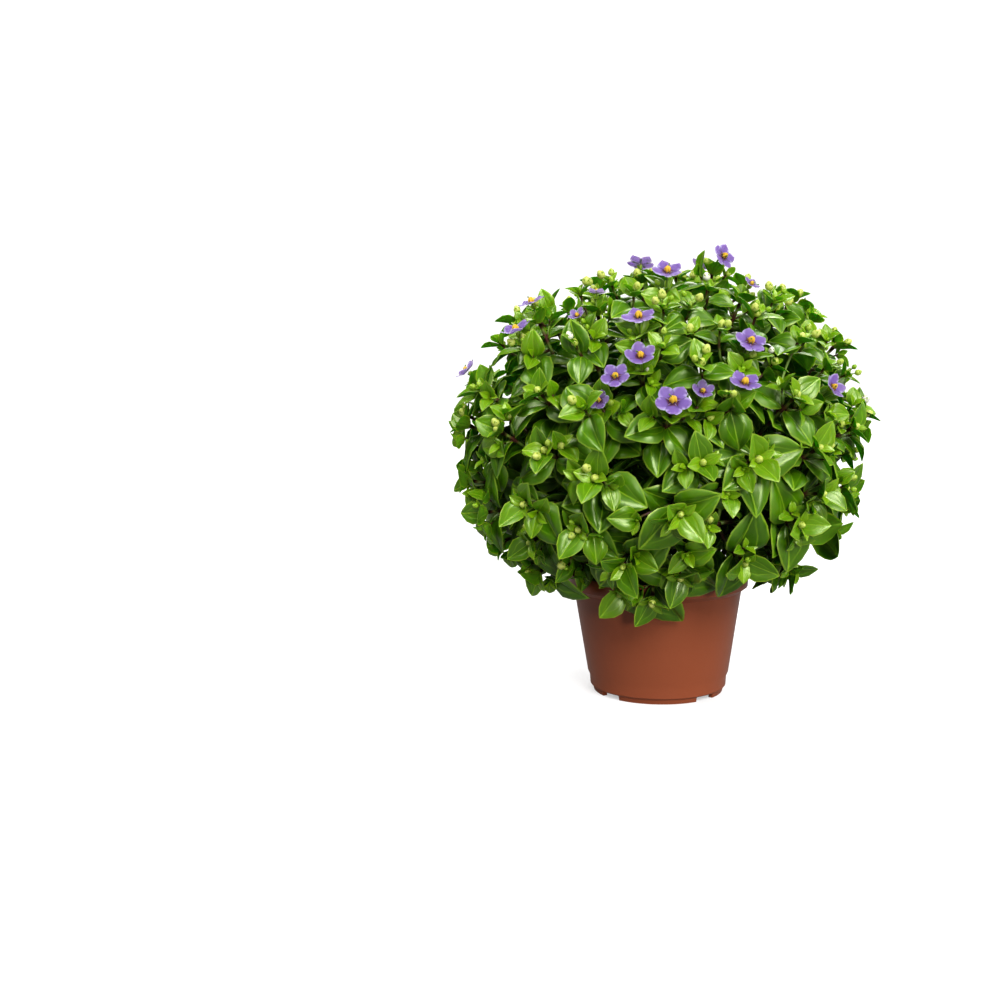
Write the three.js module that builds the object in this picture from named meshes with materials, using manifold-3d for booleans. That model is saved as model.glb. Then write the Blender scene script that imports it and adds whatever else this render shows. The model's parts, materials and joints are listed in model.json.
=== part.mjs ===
// Persian violet in a 12 cm nursery pot.
// Millimetres, +Z up. The origin is on the ground under the middle of the pot,
// and bearing 0 looks towards -Y, with positive bearings turning towards +X.

import * as THREE from 'three';
import { mergeVertices } from 'three/addons/utils/BufferGeometryUtils.js';
import Module from 'manifold-3d';

const wasm = await Module();
wasm.setup();

// Pot
const potHeight = 80;
const rimRadius = 60;
const bandHeight = 9;
const bandSlope = 3;
const lipWidth = 1.8;
const wallTopRadius = 55.5;
const stepHeight = 11.5;
const stepRadius = 46.8;
const baseRadius = 45.8;
const wallThickness = 1.3;
const floorHeight = 3.6;
const floorThickness = 2;
const footRadius = 43;
const footWidth = 2.8;
const footCount = 4;
const footGapAngle = 20;
const drainRadius = 5;
const drainRing = 22;
const potSides = 32;

// Soil
const soilEdge = 70;
const soilRise = 3;
const clearance = 0.3;
const holeDepth = 16;

// Crown, an envelope that the shoot tips reach
const crownMiddle = 165;
const crownRise = 107;
const crownDrop = 99;
const crownReach = 124;
const crownFullness = 2.3;

// Shoots and their twigs
const shootCount = 26;
const lowestShoot = -0.8;
const firstBearing = 2.7;
const rootRing = 40;
const stemRadius = 1.5;
const twigRadius = 1.2;
const twigCount = 4;
const twigSpread = 26;
const forkShare = 0.6;
const hangingLift = 30;
const rimClearance = 13;
const nodeHeight = 1.2;
const sproutHeight = 76;
const kneeShare = 0.6;
const kneeRise = 5;
const stemBends = [0.4, 0.75];
const leastDepth = 0.97;
const depthPlay = 0.07;
const tipUplift = 0.4;
const goldenTurn = Math.PI * (3 - Math.sqrt(5));

// Leaves
const leafThickness = 0.8;
const leafSlenderness = 0.84;
const leafFold = 0.28;
const leafSpring = 0.12;
const leafMiddle = 0.42;
const leafClearance = 0.4;
const pairSpacing = 10;
const largeLeafHeight = 100;
const smallLeafHeight = 250;
const smallLeafShare = 0.76;
const leastLength = 0.88;
const lengthPlay = 0.26;
const spreadPlay = 14;

// The young pair at a twig's tip, and the grown pair below it
const leafPairs = [
  { length: 20, spread: 48, sag: 0.08, bend: 0.1, rim: [[0.36, -1], [1, 0], [0.36, 1]] },
  {
    length: 30,
    spread: 80,
    sag: 0.3,
    bend: 0.24,
    rim: [[0.26, -1], [0.62, -1], [1, 0], [0.62, 1], [0.26, 1]],
  },
];

// Buds and flowers
const budRadius = 2.6;
const pedicelRadius = 0.8;
const pedicelLength = 9;
const sharingEffort = 12;
const bloomStandOff = 9;
const calyxRadius = 2.3;
const calyxHeight = 3;
const petalCount = 5;
const bloomRadius = 9.6;
const petalThickness = 0.8;
const bloomCup = 2.2;
const antherRadius = 2.3;
const antherHeight = 4.6;

// Where the flowers open: bearing, height, lean from upright, size and, for some, how far they
// stand off the crown
const bloomPlaces = [
  [-54, 255, 22, 0.9], [-48, 237, 24, 1], [-24, 258, -10, 0.6, 7], [-14, 278, -25, 0.9],
  [6, 270, 36, 0.95], [-26, 244, 40, 0.55, 7], [-5, 241, 28, 1], [-4, 219, 46, 0.9, 7],
  [-10, 208, 54, 0.85], [4, 194, 52, 1.05], [-15, 195, 60, 0.65, 1], [12, 199, 50, 0.65, 2],
  [46, 281, 70, 0.85, 16], [140, 283, 25, 0.85, 16], [50, 263, 45, 0.55, 6], [26, 226, 48, 0.95],
  [22, 203, 34, 0.95], [51, 200, 66, 0.8], [94, 250, 40, 0.65, 5], [-85, 215, 45, 0.85],
  [112, 260, 25, 0.9], [-118, 250, 35, 1], [140, 222, 50, 0.85], [-148, 243, 40, 0.95],
  [172, 266, 20, 1], [-172, 208, 55, 0.9],
];

// Where leafy tips stand out: bearing, height and how far they stand off the crown
const rosettePlaces = [
  [6, 132, 3], [-16, 79, 3], [44, 121, 3], [26, 161, 3], [46, 165, 3], [88, 255, 4], [84, 226, 4],
  [76, 117, -12],
];

const colours = {
  pot: new THREE.MeshStandardMaterial({ color: 0x9a5138, roughness: 0.45, metalness: 0 }),
  soil: new THREE.MeshStandardMaterial({ color: 0x2b1f17, roughness: 0.95, metalness: 0 }),
  leaf: new THREE.MeshStandardMaterial({ color: 0x4f8a1f, roughness: 0.4, metalness: 0 }),
  petal: new THREE.MeshStandardMaterial({ color: 0x9a76dc, roughness: 0.55, metalness: 0 }),
};

const up = new THREE.Vector3(0, 0, 1);
const quarter = Math.PI / 2;
const crownCentre = new THREE.Vector3(0, 0, crownMiddle);
const degrees = (angle) => THREE.MathUtils.degToRad(angle);
const outward = (bearing) => new THREE.Vector3(Math.sin(bearing), -Math.cos(bearing), 0);
const along = (start, direction, length) => start.clone().addScaledVector(direction, length);

// A repeatable draw between 0 and 1 for whatever the numbered keys name
function draw(...keys) {
  const mixed = keys.reduce((sum, key, place) => sum + (key + 1) * (12.9898 + 31.416 * place), 0);
  const wave = Math.sin(mixed) * 43758.5453;
  return wave - Math.floor(wave);
}

// A direction square to the given one, turned about it
function sideways(direction, turn) {
  const upright = Math.abs(direction.z) > 0.999;
  const first = upright ? new THREE.Vector3(1, 0, 0) : new THREE.Vector3().crossVectors(up, direction);
  first.normalize();
  const second = new THREE.Vector3().crossVectors(direction, first);
  return first.multiplyScalar(Math.cos(turn)).addScaledVector(second, Math.sin(turn));
}

function toSolid(geometry) {
  const bare = geometry.clone();
  bare.deleteAttribute('normal');
  bare.deleteAttribute('uv');
  const merged = mergeVertices(bare, 1e-4);
  return new wasm.Manifold(new wasm.Mesh({
    numProp: 3,
    vertProperties: new Float32Array(merged.attributes.position.array),
    triVerts: new Uint32Array(merged.index.array),
  }));
}

function toGeometry(solid) {
  const mesh = solid.getMesh();
  const geometry = new THREE.BufferGeometry();
  geometry.setAttribute('position', new THREE.BufferAttribute(mesh.vertProperties, 3));
  geometry.setIndex(new THREE.BufferAttribute(mesh.triVerts, 1));
  geometry.computeVertexNormals();
  return geometry;
}

function join(solids) {
  return solids.reduce((whole, solid) => whole.add(solid));
}

function revolve(outline) {
  const points = outline.map(([radius, height]) => new THREE.Vector2(radius, height));
  const geometry = new THREE.LatheGeometry(points, potSides);
  geometry.rotateX(quarter);
  return toSolid(geometry);
}

function prism(radius, sides, from, to, place) {
  const shape = new THREE.Shape();
  for (let corner = 0; corner < sides; corner += 1) {
    const angle = (corner + 0.5) * 2 * Math.PI / sides;
    const move = corner === 0 ? 'moveTo' : 'lineTo';
    shape[move](radius * Math.cos(angle), radius * Math.sin(angle));
  }
  shape.closePath();
  const geometry = new THREE.ExtrudeGeometry(shape, { depth: to - from, bevelEnabled: false });
  geometry.translate(place.x, place.y, from);
  return toSolid(geometry);
}

// The pot: rim band, tapering wall with a small step, floor on four feet, drain holes
function makePot() {
  const bandFoot = potHeight - bandHeight;
  const crease = bandFoot - bandSlope;
  const innerFloor = floorHeight + floorThickness;
  const shell = revolve([
    [0, floorHeight],
    [footRadius - footWidth, floorHeight],
    [footRadius - footWidth, 0],
    [footRadius, 0],
    [footRadius + 0.6, floorHeight - 0.8],
    [baseRadius - 0.6, floorHeight + 0.6],
    [baseRadius, stepHeight],
    [stepRadius, stepHeight + 1],
    [wallTopRadius, crease],
    [rimRadius - 0.4, bandFoot],
    [rimRadius, potHeight],
    [rimRadius - lipWidth, potHeight],
    [rimRadius - lipWidth - 0.4, bandFoot + 1.5],
    [wallTopRadius - wallThickness, crease + 1.5],
    [baseRadius - wallThickness - 0.4, innerFloor],
    [0, innerFloor],
  ]);
  const cutters = [];
  for (let foot = 0; foot < footCount; foot += 1) {
    const turn = foot * 2 * Math.PI / footCount;
    const width = 2 * footRadius * Math.sin(degrees(footGapAngle / 2));
    const notch = new THREE.BoxGeometry(width, 3 * footWidth, 2 * floorHeight - 0.4);
    notch.translate(0, -footRadius, 0);
    notch.rotateZ(turn + Math.PI / footCount);
    cutters.push(toSolid(notch));
    const drain = outward(turn).multiplyScalar(drainRing);
    cutters.push(prism(drainRadius, 8, 0, innerFloor + 1, drain));
  }
  return shell.subtract(join(cutters));
}

function makeSoil(roots) {
  const bottom = floorHeight + floorThickness + clearance;
  const edgeRadius = wallTopRadius - wallThickness - clearance;
  const body = revolve([
    [0, bottom],
    [baseRadius - wallThickness - 0.4 - clearance, bottom],
    [edgeRadius, soilEdge - clearance],
    [0.55 * edgeRadius, soilEdge + 0.8 * soilRise],
    [0, soilEdge + soilRise],
  ]);
  const wide = stemRadius + clearance * Math.SQRT2;
  const holes = roots.map((root) => prism(wide, 4, root.z - clearance, sproutHeight, root));
  return body.subtract(join(holes));
}

function crownRadius(height, grow) {
  const size = height > crownMiddle ? crownRise : crownDrop;
  const share = Math.min(1, Math.abs(height - crownMiddle) / (size + grow));
  return (crownReach + grow) * (1 - share ** crownFullness) ** (1 / crownFullness);
}

function onCrown(point, factor) {
  const arm = point.clone().sub(crownCentre);
  const level = Math.hypot(arm.x, arm.y) / crownReach;
  const height = Math.abs(arm.z) / (arm.z > 0 ? crownRise : crownDrop);
  const share = (level ** crownFullness + height ** crownFullness) ** (1 / crownFullness);
  return along(crownCentre, arm, factor / share);
}

// Tips that hang below the rim stay outside it
function clearOfRim(tip) {
  const level = Math.hypot(tip.x, tip.y);
  const least = tip.z < potHeight + rimClearance ? rimRadius + rimClearance : level;
  const push = Math.max(1, least / level);
  return tip.multiply(new THREE.Vector3(push, push, 1));
}

function growDirection(point) {
  const arm = point.clone().sub(crownCentre);
  const size = arm.z > 0 ? crownRise : crownDrop;
  arm.set(arm.x / crownReach ** 2, arm.y / crownReach ** 2, arm.z / size ** 2);
  return arm.normalize().addScaledVector(up, tipUplift).normalize();
}

// Where each shoot roots, forks and sends its twigs
function planShoot(index) {
  const tilt = Math.acos(1 - (index + 0.5) * (1 - lowestShoot) / shootCount);
  const bearing = index * goldenTurn + firstBearing;
  const aim = outward(bearing).multiplyScalar(Math.sin(tilt) * crownReach);
  aim.z = crownMiddle + Math.cos(tilt) * crownRise;
  const centre = onCrown(aim, 1);
  const root = outward(bearing).multiplyScalar(rootRing * Math.sin(Math.min(tilt, quarter)) ** 0.8);
  root.z = soilEdge - holeDepth + clearance;
  const crownFoot = root.clone().setZ(sproutHeight);
  const fork = crownFoot.clone().lerp(centre, forkShare);
  fork.z += hangingLift * Math.max(0, 0.2 - Math.cos(tilt));
  const facing = centre.clone().sub(crownCentre).normalize();
  const turn = 2 * Math.PI * draw(index, 1);
  const twigs = [];
  for (let twig = 0; twig < twigCount; twig += 1) {
    const reach = along(centre, sideways(facing, turn + twig * quarter), twigSpread);
    const tip = clearOfRim(onCrown(reach, leastDepth + depthPlay * draw(index, 3, twig)));
    const roll = Math.PI * draw(index, 9, twig);
    twigs.push({ shoot: index, twig, tip, direction: growDirection(tip), roll, blooms: [] });
  }
  return { index, root, crownFoot, fork, facing, turn, twigs };
}

function offCrown(bearing, height, standOff) {
  return outward(degrees(bearing)).multiplyScalar(crownRadius(height, standOff)).setZ(height);
}

// A flower opens at its place, and the nearest twig tip comes up to carry it
function seatBlooms(twigs) {
  return bloomPlaces.map(([bearing, height, lean, size, standOff = bloomStandOff], index) => {
    const place = offCrown(bearing, height, standOff);
    const face = up.clone().multiplyScalar(Math.cos(degrees(lean)));
    face.addScaledVector(outward(degrees(bearing)), Math.sin(degrees(lean)));
    const effort = (twig) => twig.tip.distanceTo(place) + sharingEffort * twig.blooms.length;
    const carrier = twigs.reduce((best, twig) => (effort(twig) < effort(best) ? twig : best));
    if (carrier.blooms.length === 0) {
      const stalk = carrier.direction.clone().add(face).normalize();
      carrier.tip.copy(along(place, stalk, -pedicelLength - calyxHeight));
    }
    const bloom = { index, place, face, size };
    carrier.blooms.push(bloom);
    return bloom;
  });
}

// The nearest twig that is still free moves its tip to each rosette's place
function seatRosettes(twigs) {
  const free = new Set(twigs.filter((twig) => twig.blooms.length === 0));
  rosettePlaces.forEach(([bearing, height, standOff]) => {
    const place = offCrown(bearing, height, standOff);
    const nearest = [...free].reduce((best, twig) => (
      twig.tip.distanceTo(place) < best.tip.distanceTo(place) ? twig : best));
    nearest.tip.copy(place);
    free.delete(nearest);
  });
}

// A skin of triangles that grows face by face, so that what it covers is one closed body
class Skin {
  constructor() {
    this.positions = [];
    this.triangles = [];
  }

  point(place) {
    this.positions.push(place.x, place.y, place.z);
    return this.positions.length / 3 - 1;
  }

  place(corner) {
    return new THREE.Vector3().fromArray(this.positions, 3 * corner);
  }

  patch(a, b, c, d) {
    this.triangles.push(a, b, c, a, c, d);
  }

  // Four corners round a centre, whose side faces look towards the turn and its quarters
  ring(centre, direction, turn, radius) {
    return [-0.5, 0.5, 1.5, 2.5].map((corner) => (
      this.point(along(centre, sideways(direction, turn + corner * quarter), radius))));
  }

  // Side faces between two rings, of which some may be left for something to grow from
  wrap(before, after, growers = []) {
    const gap = (shift) => after.reduce((sum, corner, place) => (
      sum + this.place(corner).distanceTo(this.place(before[(place + shift) % 4]))), 0);
    const shift = [0, 1, 2, 3].reduce((best, one) => (gap(one) < gap(best) ? one : best));
    after.forEach((corner, place) => {
      const next = (place + 1) % 4;
      const face = [before[(place + shift) % 4], before[(next + shift) % 4], after[next], corner];
      if (growers[place]) {
        growers[place](face);
      } else {
        this.patch(...face);
      }
    });
    return after;
  }

  // A plate that grows out of a face, with a single point at its tip
  blade(face, rim, middle, normal, thickness) {
    const half = thickness / 2;
    const tip = (rim.length - 1) / 2;
    const above = rim.map((place, corner) => this.point(along(place, normal, corner === tip ? 0 : half)));
    const below = rim.map((place, corner) => (
      corner === tip ? above[tip] : this.point(along(place, normal, -half))));
    const upper = [face[3], ...above, face[2]];
    const lower = [face[0], ...below, face[1]];
    const top = this.point(along(middle, normal, half));
    const bottom = this.point(along(middle, normal, -half));
    upper.forEach((corner, place) => {
      const next = (place + 1) % upper.length;
      this.triangles.push(top, corner, upper[next], bottom, lower[next], lower[place]);
      if (next !== 0 && corner !== lower[place]) {
        this.triangles.push(corner, lower[place], lower[next]);
      }
      if (next !== 0 && upper[next] !== lower[next]) {
        this.triangles.push(corner, lower[next], upper[next]);
      }
    });
  }

  solid() {
    const geometry = new THREE.BufferGeometry();
    geometry.setAttribute('position', new THREE.Float32BufferAttribute(this.positions, 3));
    geometry.setIndex(this.triangles);
    return toSolid(geometry);
  }
}

// Bends that a leaf tries in turn until it is clear: swing, lift and share of its length
const leafBends = [
  [0, 0, 1], [16, 0, 1], [-16, 0, 1], [0, 18, 1], [0, -16, 1], [26, 12, 1], [-26, 12, 1],
  [0, 34, 0.9], [34, -8, 0.85], [-34, -8, 0.85], [0, 8, 0.72], [30, 26, 0.72], [-30, 26, 0.72],
];

function nodePlace(twig, pair) {
  return along(twig.tip, twig.direction, -1 - nodeHeight / 2 - pairSpacing * pair);
}

// Leaves are large low in the crown and smaller higher up
function leafScale(height) {
  const share = (height - largeLeafHeight) / (smallLeafHeight - largeLeafHeight);
  return 1 - (1 - smallLeafShare) * Math.min(1, Math.max(0, share));
}

function planLeaf(twig, pair, side, [swing, lift, shrink]) {
  const { length, spread, sag, bend, rim } = leafPairs[pair];
  const scale = leafScale(twig.tip.z);
  const share = leastLength + lengthPlay * draw(twig.shoot, twig.twig, pair, side);
  const azimuth = twig.roll + quarter * (2 * side + pair);
  const play = spreadPlay * (draw(twig.shoot, twig.twig, side, pair) - 0.5);
  const tilt = degrees(spread + play - lift);
  const out = twig.direction.clone().multiplyScalar(Math.cos(tilt));
  out.addScaledVector(sideways(twig.direction, azimuth + degrees(swing)), Math.sin(tilt));
  out.addScaledVector(up, -sag).normalize();
  const face = twig.direction.clone();
  face.addScaledVector(out, -face.dot(out)).normalize();
  const seat = along(nodePlace(twig, pair), sideways(twig.direction, azimuth), 0.7 * twigRadius);
  return { pair, seat, out, face, length: length * scale * share * shrink, bend, rim };
}

// A round leaf with a short point, folded along its midrib and arching to its tip
const leafHalfWidth = (share) => Math.sin(Math.PI * share ** 0.8) ** 0.75 / 2;

function growLeaf(skin, face, leaf, grow = 0) {
  const across = new THREE.Vector3().crossVectors(leaf.face, leaf.out);
  const width = leaf.length * leafSlenderness + 2 * grow;
  const spot = ([share, side]) => {
    const half = side * leafHalfWidth(share) * width;
    const arch = leafSpring * share - leaf.bend * share ** 2;
    const lift = leaf.length * arch + leafFold * Math.abs(half);
    const place = along(leaf.seat, leaf.out, share * (leaf.length + grow));
    return place.addScaledVector(across, half).addScaledVector(leaf.face, lift);
  };
  skin.blade(face, leaf.rim.map(spot), spot([leafMiddle, 0]), leaf.face, leafThickness + 2 * grow);
}

// The same leaf by itself, a little larger all round, to test its clearance
function leafAlone(leaf, grow) {
  const skin = new Skin();
  const turned = along(leaf.seat, leaf.out, leafClearance);
  const across = new THREE.Vector3().crossVectors(leaf.face, leaf.out);
  const face = [[-1, -1], [1, -1], [1, 1], [-1, 1]].map(([side, height]) => (
    skin.point(turned.clone().addScaledVector(across, side).addScaledVector(leaf.face, height * 0.4))));
  growLeaf(skin, face, leaf, grow);
  skin.patch(face[3], face[2], face[1], face[0]);
  return skin.solid();
}

function stemRoute(shoot) {
  const knee = shoot.crownFoot.clone();
  knee.z += kneeShare * (shoot.fork.z - shoot.crownFoot.z) + kneeRise;
  return new THREE.QuadraticBezierCurve3(shoot.crownFoot, knee, shoot.fork);
}

function twigRoute(shoot, twig) {
  const start = along(shoot.fork, sideways(shoot.facing, shoot.turn + twig.twig * quarter), stemRadius);
  const end = along(nodePlace(twig, 1), twig.direction, -nodeHeight);
  const bow = along(end, twig.direction, -0.5 * end.distanceTo(start));
  return new THREE.QuadraticBezierCurve3(start, bow, end);
}

function growBud(skin, ring, twig) {
  const middle = along(twig.tip, twig.direction, 0.8 * budRadius);
  const widest = skin.wrap(ring, skin.ring(middle, twig.direction, twig.roll, budRadius));
  const point = skin.point(along(middle, twig.direction, 1.2 * budRadius));
  widest.forEach((corner, place) => skin.triangles.push(corner, widest[(place + 1) % 4], point));
}

// The stalk of a flower with its calyx, which stays clear of the corolla
function growStalk(skin, ring, bloom) {
  const top = along(bloom.place, bloom.face, -clearance);
  const foot = along(top, bloom.face, -calyxHeight);
  const turn = 2 * Math.PI * draw(bloom.index, 5);
  const narrow = skin.wrap(ring, skin.ring(foot, bloom.face, turn, pedicelRadius));
  const wide = skin.wrap(narrow, skin.ring(top, bloom.face, turn, calyxRadius));
  skin.patch(...wide);
}

function growTwig(skin, face, shoot, twig, leaves) {
  const route = twigRoute(shoot, twig);
  const { direction, roll } = twig;
  const bend = skin.ring(route.getPoint(0.5), route.getTangent(0.5), roll, twigRadius);
  let ring = skin.wrap(face, bend);
  [1, 0].forEach((pair) => {
    const middle = nodePlace(twig, pair);
    const below = skin.ring(along(middle, direction, -nodeHeight / 2), direction, roll, twigRadius);
    const above = skin.ring(along(middle, direction, nodeHeight / 2), direction, roll, twigRadius);
    ring = skin.wrap(ring, below);
    const growers = [];
    leaves.filter((leaf) => leaf.pair === pair).forEach((leaf) => {
      growers[pair + 2 * leaf.side] = (spot) => growLeaf(skin, spot, leaf);
    });
    ring = skin.wrap(ring, above, growers);
  });
  const [bloom, second] = twig.blooms;
  if (second) {
    const above = skin.ring(along(twig.tip, direction, nodeHeight), direction, roll, twigRadius);
    const aim = second.place.clone().sub(twig.tip);
    const reach = (side) => aim.dot(sideways(direction, roll + side * quarter));
    const growers = [];
    const nearest = [0, 1, 2, 3].reduce((best, side) => (reach(side) > reach(best) ? side : best));
    growers[nearest] = (spot) => growStalk(skin, spot, second);
    ring = skin.wrap(ring, above, growers);
  }
  if (bloom) {
    growStalk(skin, ring, bloom);
  } else {
    growBud(skin, ring, twig);
  }
}

// A twig by itself, to test what crosses it
function twigAlone(shoot, twig) {
  const skin = new Skin();
  const route = twigRoute(shoot, twig);
  const start = skin.ring(route.getPoint(0.05), route.getTangent(0), twig.roll, twigRadius);
  skin.patch(start[3], start[2], start[1], start[0]);
  growTwig(skin, start, shoot, twig, []);
  return skin.solid();
}

function growShoot(shoot, twigs, leaves) {
  const skin = new Skin();
  const route = stemRoute(shoot);
  const bottom = skin.ring(shoot.root, up, 0, stemRadius);
  skin.patch(bottom[3], bottom[2], bottom[1], bottom[0]);
  let ring = skin.wrap(bottom, skin.ring(shoot.crownFoot, up, 0, stemRadius));
  stemBends.forEach((share) => {
    const bend = skin.ring(route.getPoint(share), route.getTangent(share), shoot.turn, stemRadius);
    ring = skin.wrap(ring, bend);
  });
  const { fork, facing, turn } = shoot;
  ring = skin.wrap(ring, skin.ring(along(fork, facing, -stemRadius), facing, turn, stemRadius));
  const growers = twigs.map((twig) => (face) => {
    growTwig(skin, face, shoot, twig, leaves.filter((leaf) => leaf.twig === twig));
  });
  const top = skin.ring(along(fork, facing, stemRadius), facing, turn, stemRadius);
  skin.patch(...skin.wrap(ring, top, growers));
  return skin.solid();
}

// Five broad petals round a cone of anthers
function makeBloom(bloom) {
  const skin = new Skin();
  const turn = 2 * Math.PI * draw(bloom.index, 6);
  const spot = (reach, angle, height) => skin.point(
    along(bloom.place, bloom.face, height + bloom.size * bloomCup * (reach / bloomRadius) ** 2)
      .addScaledVector(sideways(bloom.face, turn + degrees(angle)), bloom.size * reach));
  const rim = [];
  const pitch = 360 / petalCount;
  for (let petal = 0; petal < petalCount; petal += 1) {
    [[0.42, -0.5, 0], [0.84, -0.3, 1], [1, 0, 0], [0.84, 0.3, 1]].forEach(([reach, part, thick]) => {
      const angle = (petal + part) * pitch;
      const height = petalThickness / 2;
      const upper = spot(reach * bloomRadius, angle, height * (1 + thick));
      const lower = thick ? spot(reach * bloomRadius, angle, 0) : upper;
      rim.push({ upper, lower });
    });
  }
  const collar = rim.filter((_, corner) => corner % 4 === 0)
    .map((_, petal) => spot(antherRadius, (petal - 0.5) * pitch, petalThickness));
  const point = spot(0, 0, bloom.size * antherHeight);
  const bottom = spot(0, 0, 0);
  rim.forEach((corner, place) => {
    const next = rim[(place + 1) % rim.length];
    const petal = Math.floor(place / 4);
    const hub = collar[place % 4 < 2 ? petal : (petal + 1) % petalCount];
    skin.triangles.push(hub, corner.upper, next.upper, bottom, next.lower, corner.lower);
    if (corner.upper !== corner.lower) {
      skin.triangles.push(corner.upper, corner.lower, next.lower);
    }
    if (next.upper !== next.lower) {
      skin.triangles.push(corner.upper, next.lower, next.upper);
    }
  });
  collar.forEach((corner, petal) => {
    const next = collar[(petal + 1) % petalCount];
    skin.triangles.push(corner, rim[4 * petal + 2].upper, next, corner, next, point);
  });
  return skin.solid();
}

// Pieces already standing, so that what grows later can keep clear of them
const standing = [];

function stand(owner, solid) {
  standing.push({ owner, solid, box: solid.boundingBox() });
}

function isClear(owner, solid) {
  const box = solid.boundingBox();
  const apart = (other) => [0, 1, 2].some((axis) => (
    other.max[axis] < box.min[axis] || other.min[axis] > box.max[axis]));
  return standing.every((piece) => (
    piece.owner === owner || apart(piece.box) || piece.solid.intersect(solid).isEmpty()));
}

const shoots = Array.from({ length: shootCount }, (_, index) => planShoot(index));
const twigs = shoots.flatMap((shoot) => shoot.twigs);
const blooms = seatBlooms(twigs);
seatRosettes(twigs);
const pot = makePot();
const soil = makeSoil(shoots.map((shoot) => shoot.root));
const bloomSolids = blooms.map(makeBloom);
stand('pot', pot);
stand('soil', soil);
bloomSolids.forEach((solid) => stand('bloom', solid));
shoots.forEach((shoot) => {
  stand('stem', growShoot(shoot, [], []));
  shoot.twigs.forEach((twig) => stand(twig, twigAlone(shoot, twig)));
});

const leaves = [];
[0, 1].forEach((pair) => {
  twigs.forEach((twig) => {
    [0, 1].forEach((side) => {
      const options = leafBends.map((bend) => planLeaf(twig, pair, side, bend));
      const chosen = options.find((leaf) => isClear(twig, leafAlone(leaf, leafClearance)));
      if (chosen) {
        leaves.push({ ...chosen, twig, side });
        stand(`leaf${leaves.length}`, leafAlone(chosen, 0));
      }
    });
  });
});

const plant = new THREE.Group();

function addNode(name, solid, material) {
  const mesh = new THREE.Mesh(toGeometry(solid), material);
  mesh.name = name;
  plant.add(mesh);
}

const twoDigits = (number) => String(number + 1).padStart(2, '0');
addNode('pot', pot, colours.pot);
addNode('soil', soil, colours.soil);
shoots.forEach((shoot) => {
  addNode(`shoot_${twoDigits(shoot.index)}`, growShoot(shoot, shoot.twigs, leaves), colours.leaf);
});
bloomSolids.forEach((solid, index) => addNode(`bloom_${twoDigits(index)}`, solid, colours.petal));

export default plant;
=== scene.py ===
# %% [markdown]
# # A potted persian violet
# The plant is a round cushion of leafy shoots in a small plastic nursery pot. Its shape comes from a packed
# model of solids, the frame, and this lesson dresses that frame: finer leaves with nerves, petals, buds,
# a spun pot and rough soil. Every length is in metres, and everything sits where the frame says.
# We load the frame first, because each piece of this lesson replaces one of its nodes.

# %% Load the frame
import json
import math
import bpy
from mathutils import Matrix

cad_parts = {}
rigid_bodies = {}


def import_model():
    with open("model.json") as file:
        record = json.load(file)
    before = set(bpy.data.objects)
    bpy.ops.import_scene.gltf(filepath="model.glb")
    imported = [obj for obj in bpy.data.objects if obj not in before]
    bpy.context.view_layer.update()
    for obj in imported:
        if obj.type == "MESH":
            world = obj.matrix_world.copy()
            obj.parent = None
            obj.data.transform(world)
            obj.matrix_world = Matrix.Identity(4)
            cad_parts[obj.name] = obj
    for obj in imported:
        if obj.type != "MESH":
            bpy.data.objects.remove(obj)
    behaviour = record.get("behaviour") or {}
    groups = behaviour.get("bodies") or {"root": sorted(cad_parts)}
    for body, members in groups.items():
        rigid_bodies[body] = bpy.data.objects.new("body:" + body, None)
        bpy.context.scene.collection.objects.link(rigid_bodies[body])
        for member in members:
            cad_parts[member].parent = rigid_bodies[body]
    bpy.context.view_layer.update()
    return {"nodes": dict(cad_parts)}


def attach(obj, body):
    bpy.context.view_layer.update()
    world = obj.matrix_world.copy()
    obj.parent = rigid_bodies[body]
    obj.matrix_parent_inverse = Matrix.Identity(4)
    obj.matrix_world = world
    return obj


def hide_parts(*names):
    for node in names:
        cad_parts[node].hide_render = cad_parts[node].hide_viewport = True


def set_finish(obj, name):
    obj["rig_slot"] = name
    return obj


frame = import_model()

from types import SimpleNamespace

import bmesh
import bpy
from mathutils import Matrix, Vector, noise
from mathutils.bvhtree import BVHTree
from mathutils.kdtree import KDTree

millimetre = 0.001

# %% [markdown]
# ## The camera
# A camera can be aimed with a constraint, but a photograph that is slightly turned and tilted needs three
# exact angles. So we build the camera's own axes from yaw, pitch and roll, and put them into its matrix.
# The lens is given in millimetres on a sensor 36 mm wide, which is what Blender's camera works with.
# In Blender an object is a place in the scene, and its data is what is seen there. add_object joins both.

# %% Camera
camera_place = Vector((0, -0.750, 0.202))
camera_yaw = math.radians(8.0)
camera_pitch = math.radians(-5.6)
camera_roll = math.radians(-1.05)
ahead = Vector((
    -math.sin(camera_yaw) * math.cos(camera_pitch),
    math.cos(camera_yaw) * math.cos(camera_pitch),
    math.sin(camera_pitch),
))
level_right = Vector((math.cos(camera_yaw), math.sin(camera_yaw), 0))
level_top = level_right.cross(ahead)
right = level_right * math.cos(camera_roll) + level_top * math.sin(camera_roll)
top = level_top * math.cos(camera_roll) - level_right * math.sin(camera_roll)


def add_object(name, data):
    """Puts data, such as a camera, a mesh or a lamp, into the scene as an object."""
    made = bpy.data.objects.new(name, data)
    bpy.context.scene.collection.objects.link(made)
    return made


lens = bpy.data.cameras.new("studio_camera")
lens.sensor_width = 36
lens.lens = 40.31
camera = add_object("studio_camera", lens)
axes = Matrix((right, top, -ahead)).transposed()
camera.matrix_world = Matrix.Translation(camera_place) @ axes.to_4x4()
bpy.context.scene.camera = camera
print("camera at", tuple(camera_place), "with a", lens.lens, "mm lens")

# %% [markdown]
# ## A repeatable draw
# Plants need variety, but a lesson has to give the same plant each time. A sine of large numbers, cut to
# what follows the point, gives a number from 0 to 1 that looks random and depends only on its keys.
# The frame was grown with this same draw, so we can work out again where each of its leaves stands.

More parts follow.
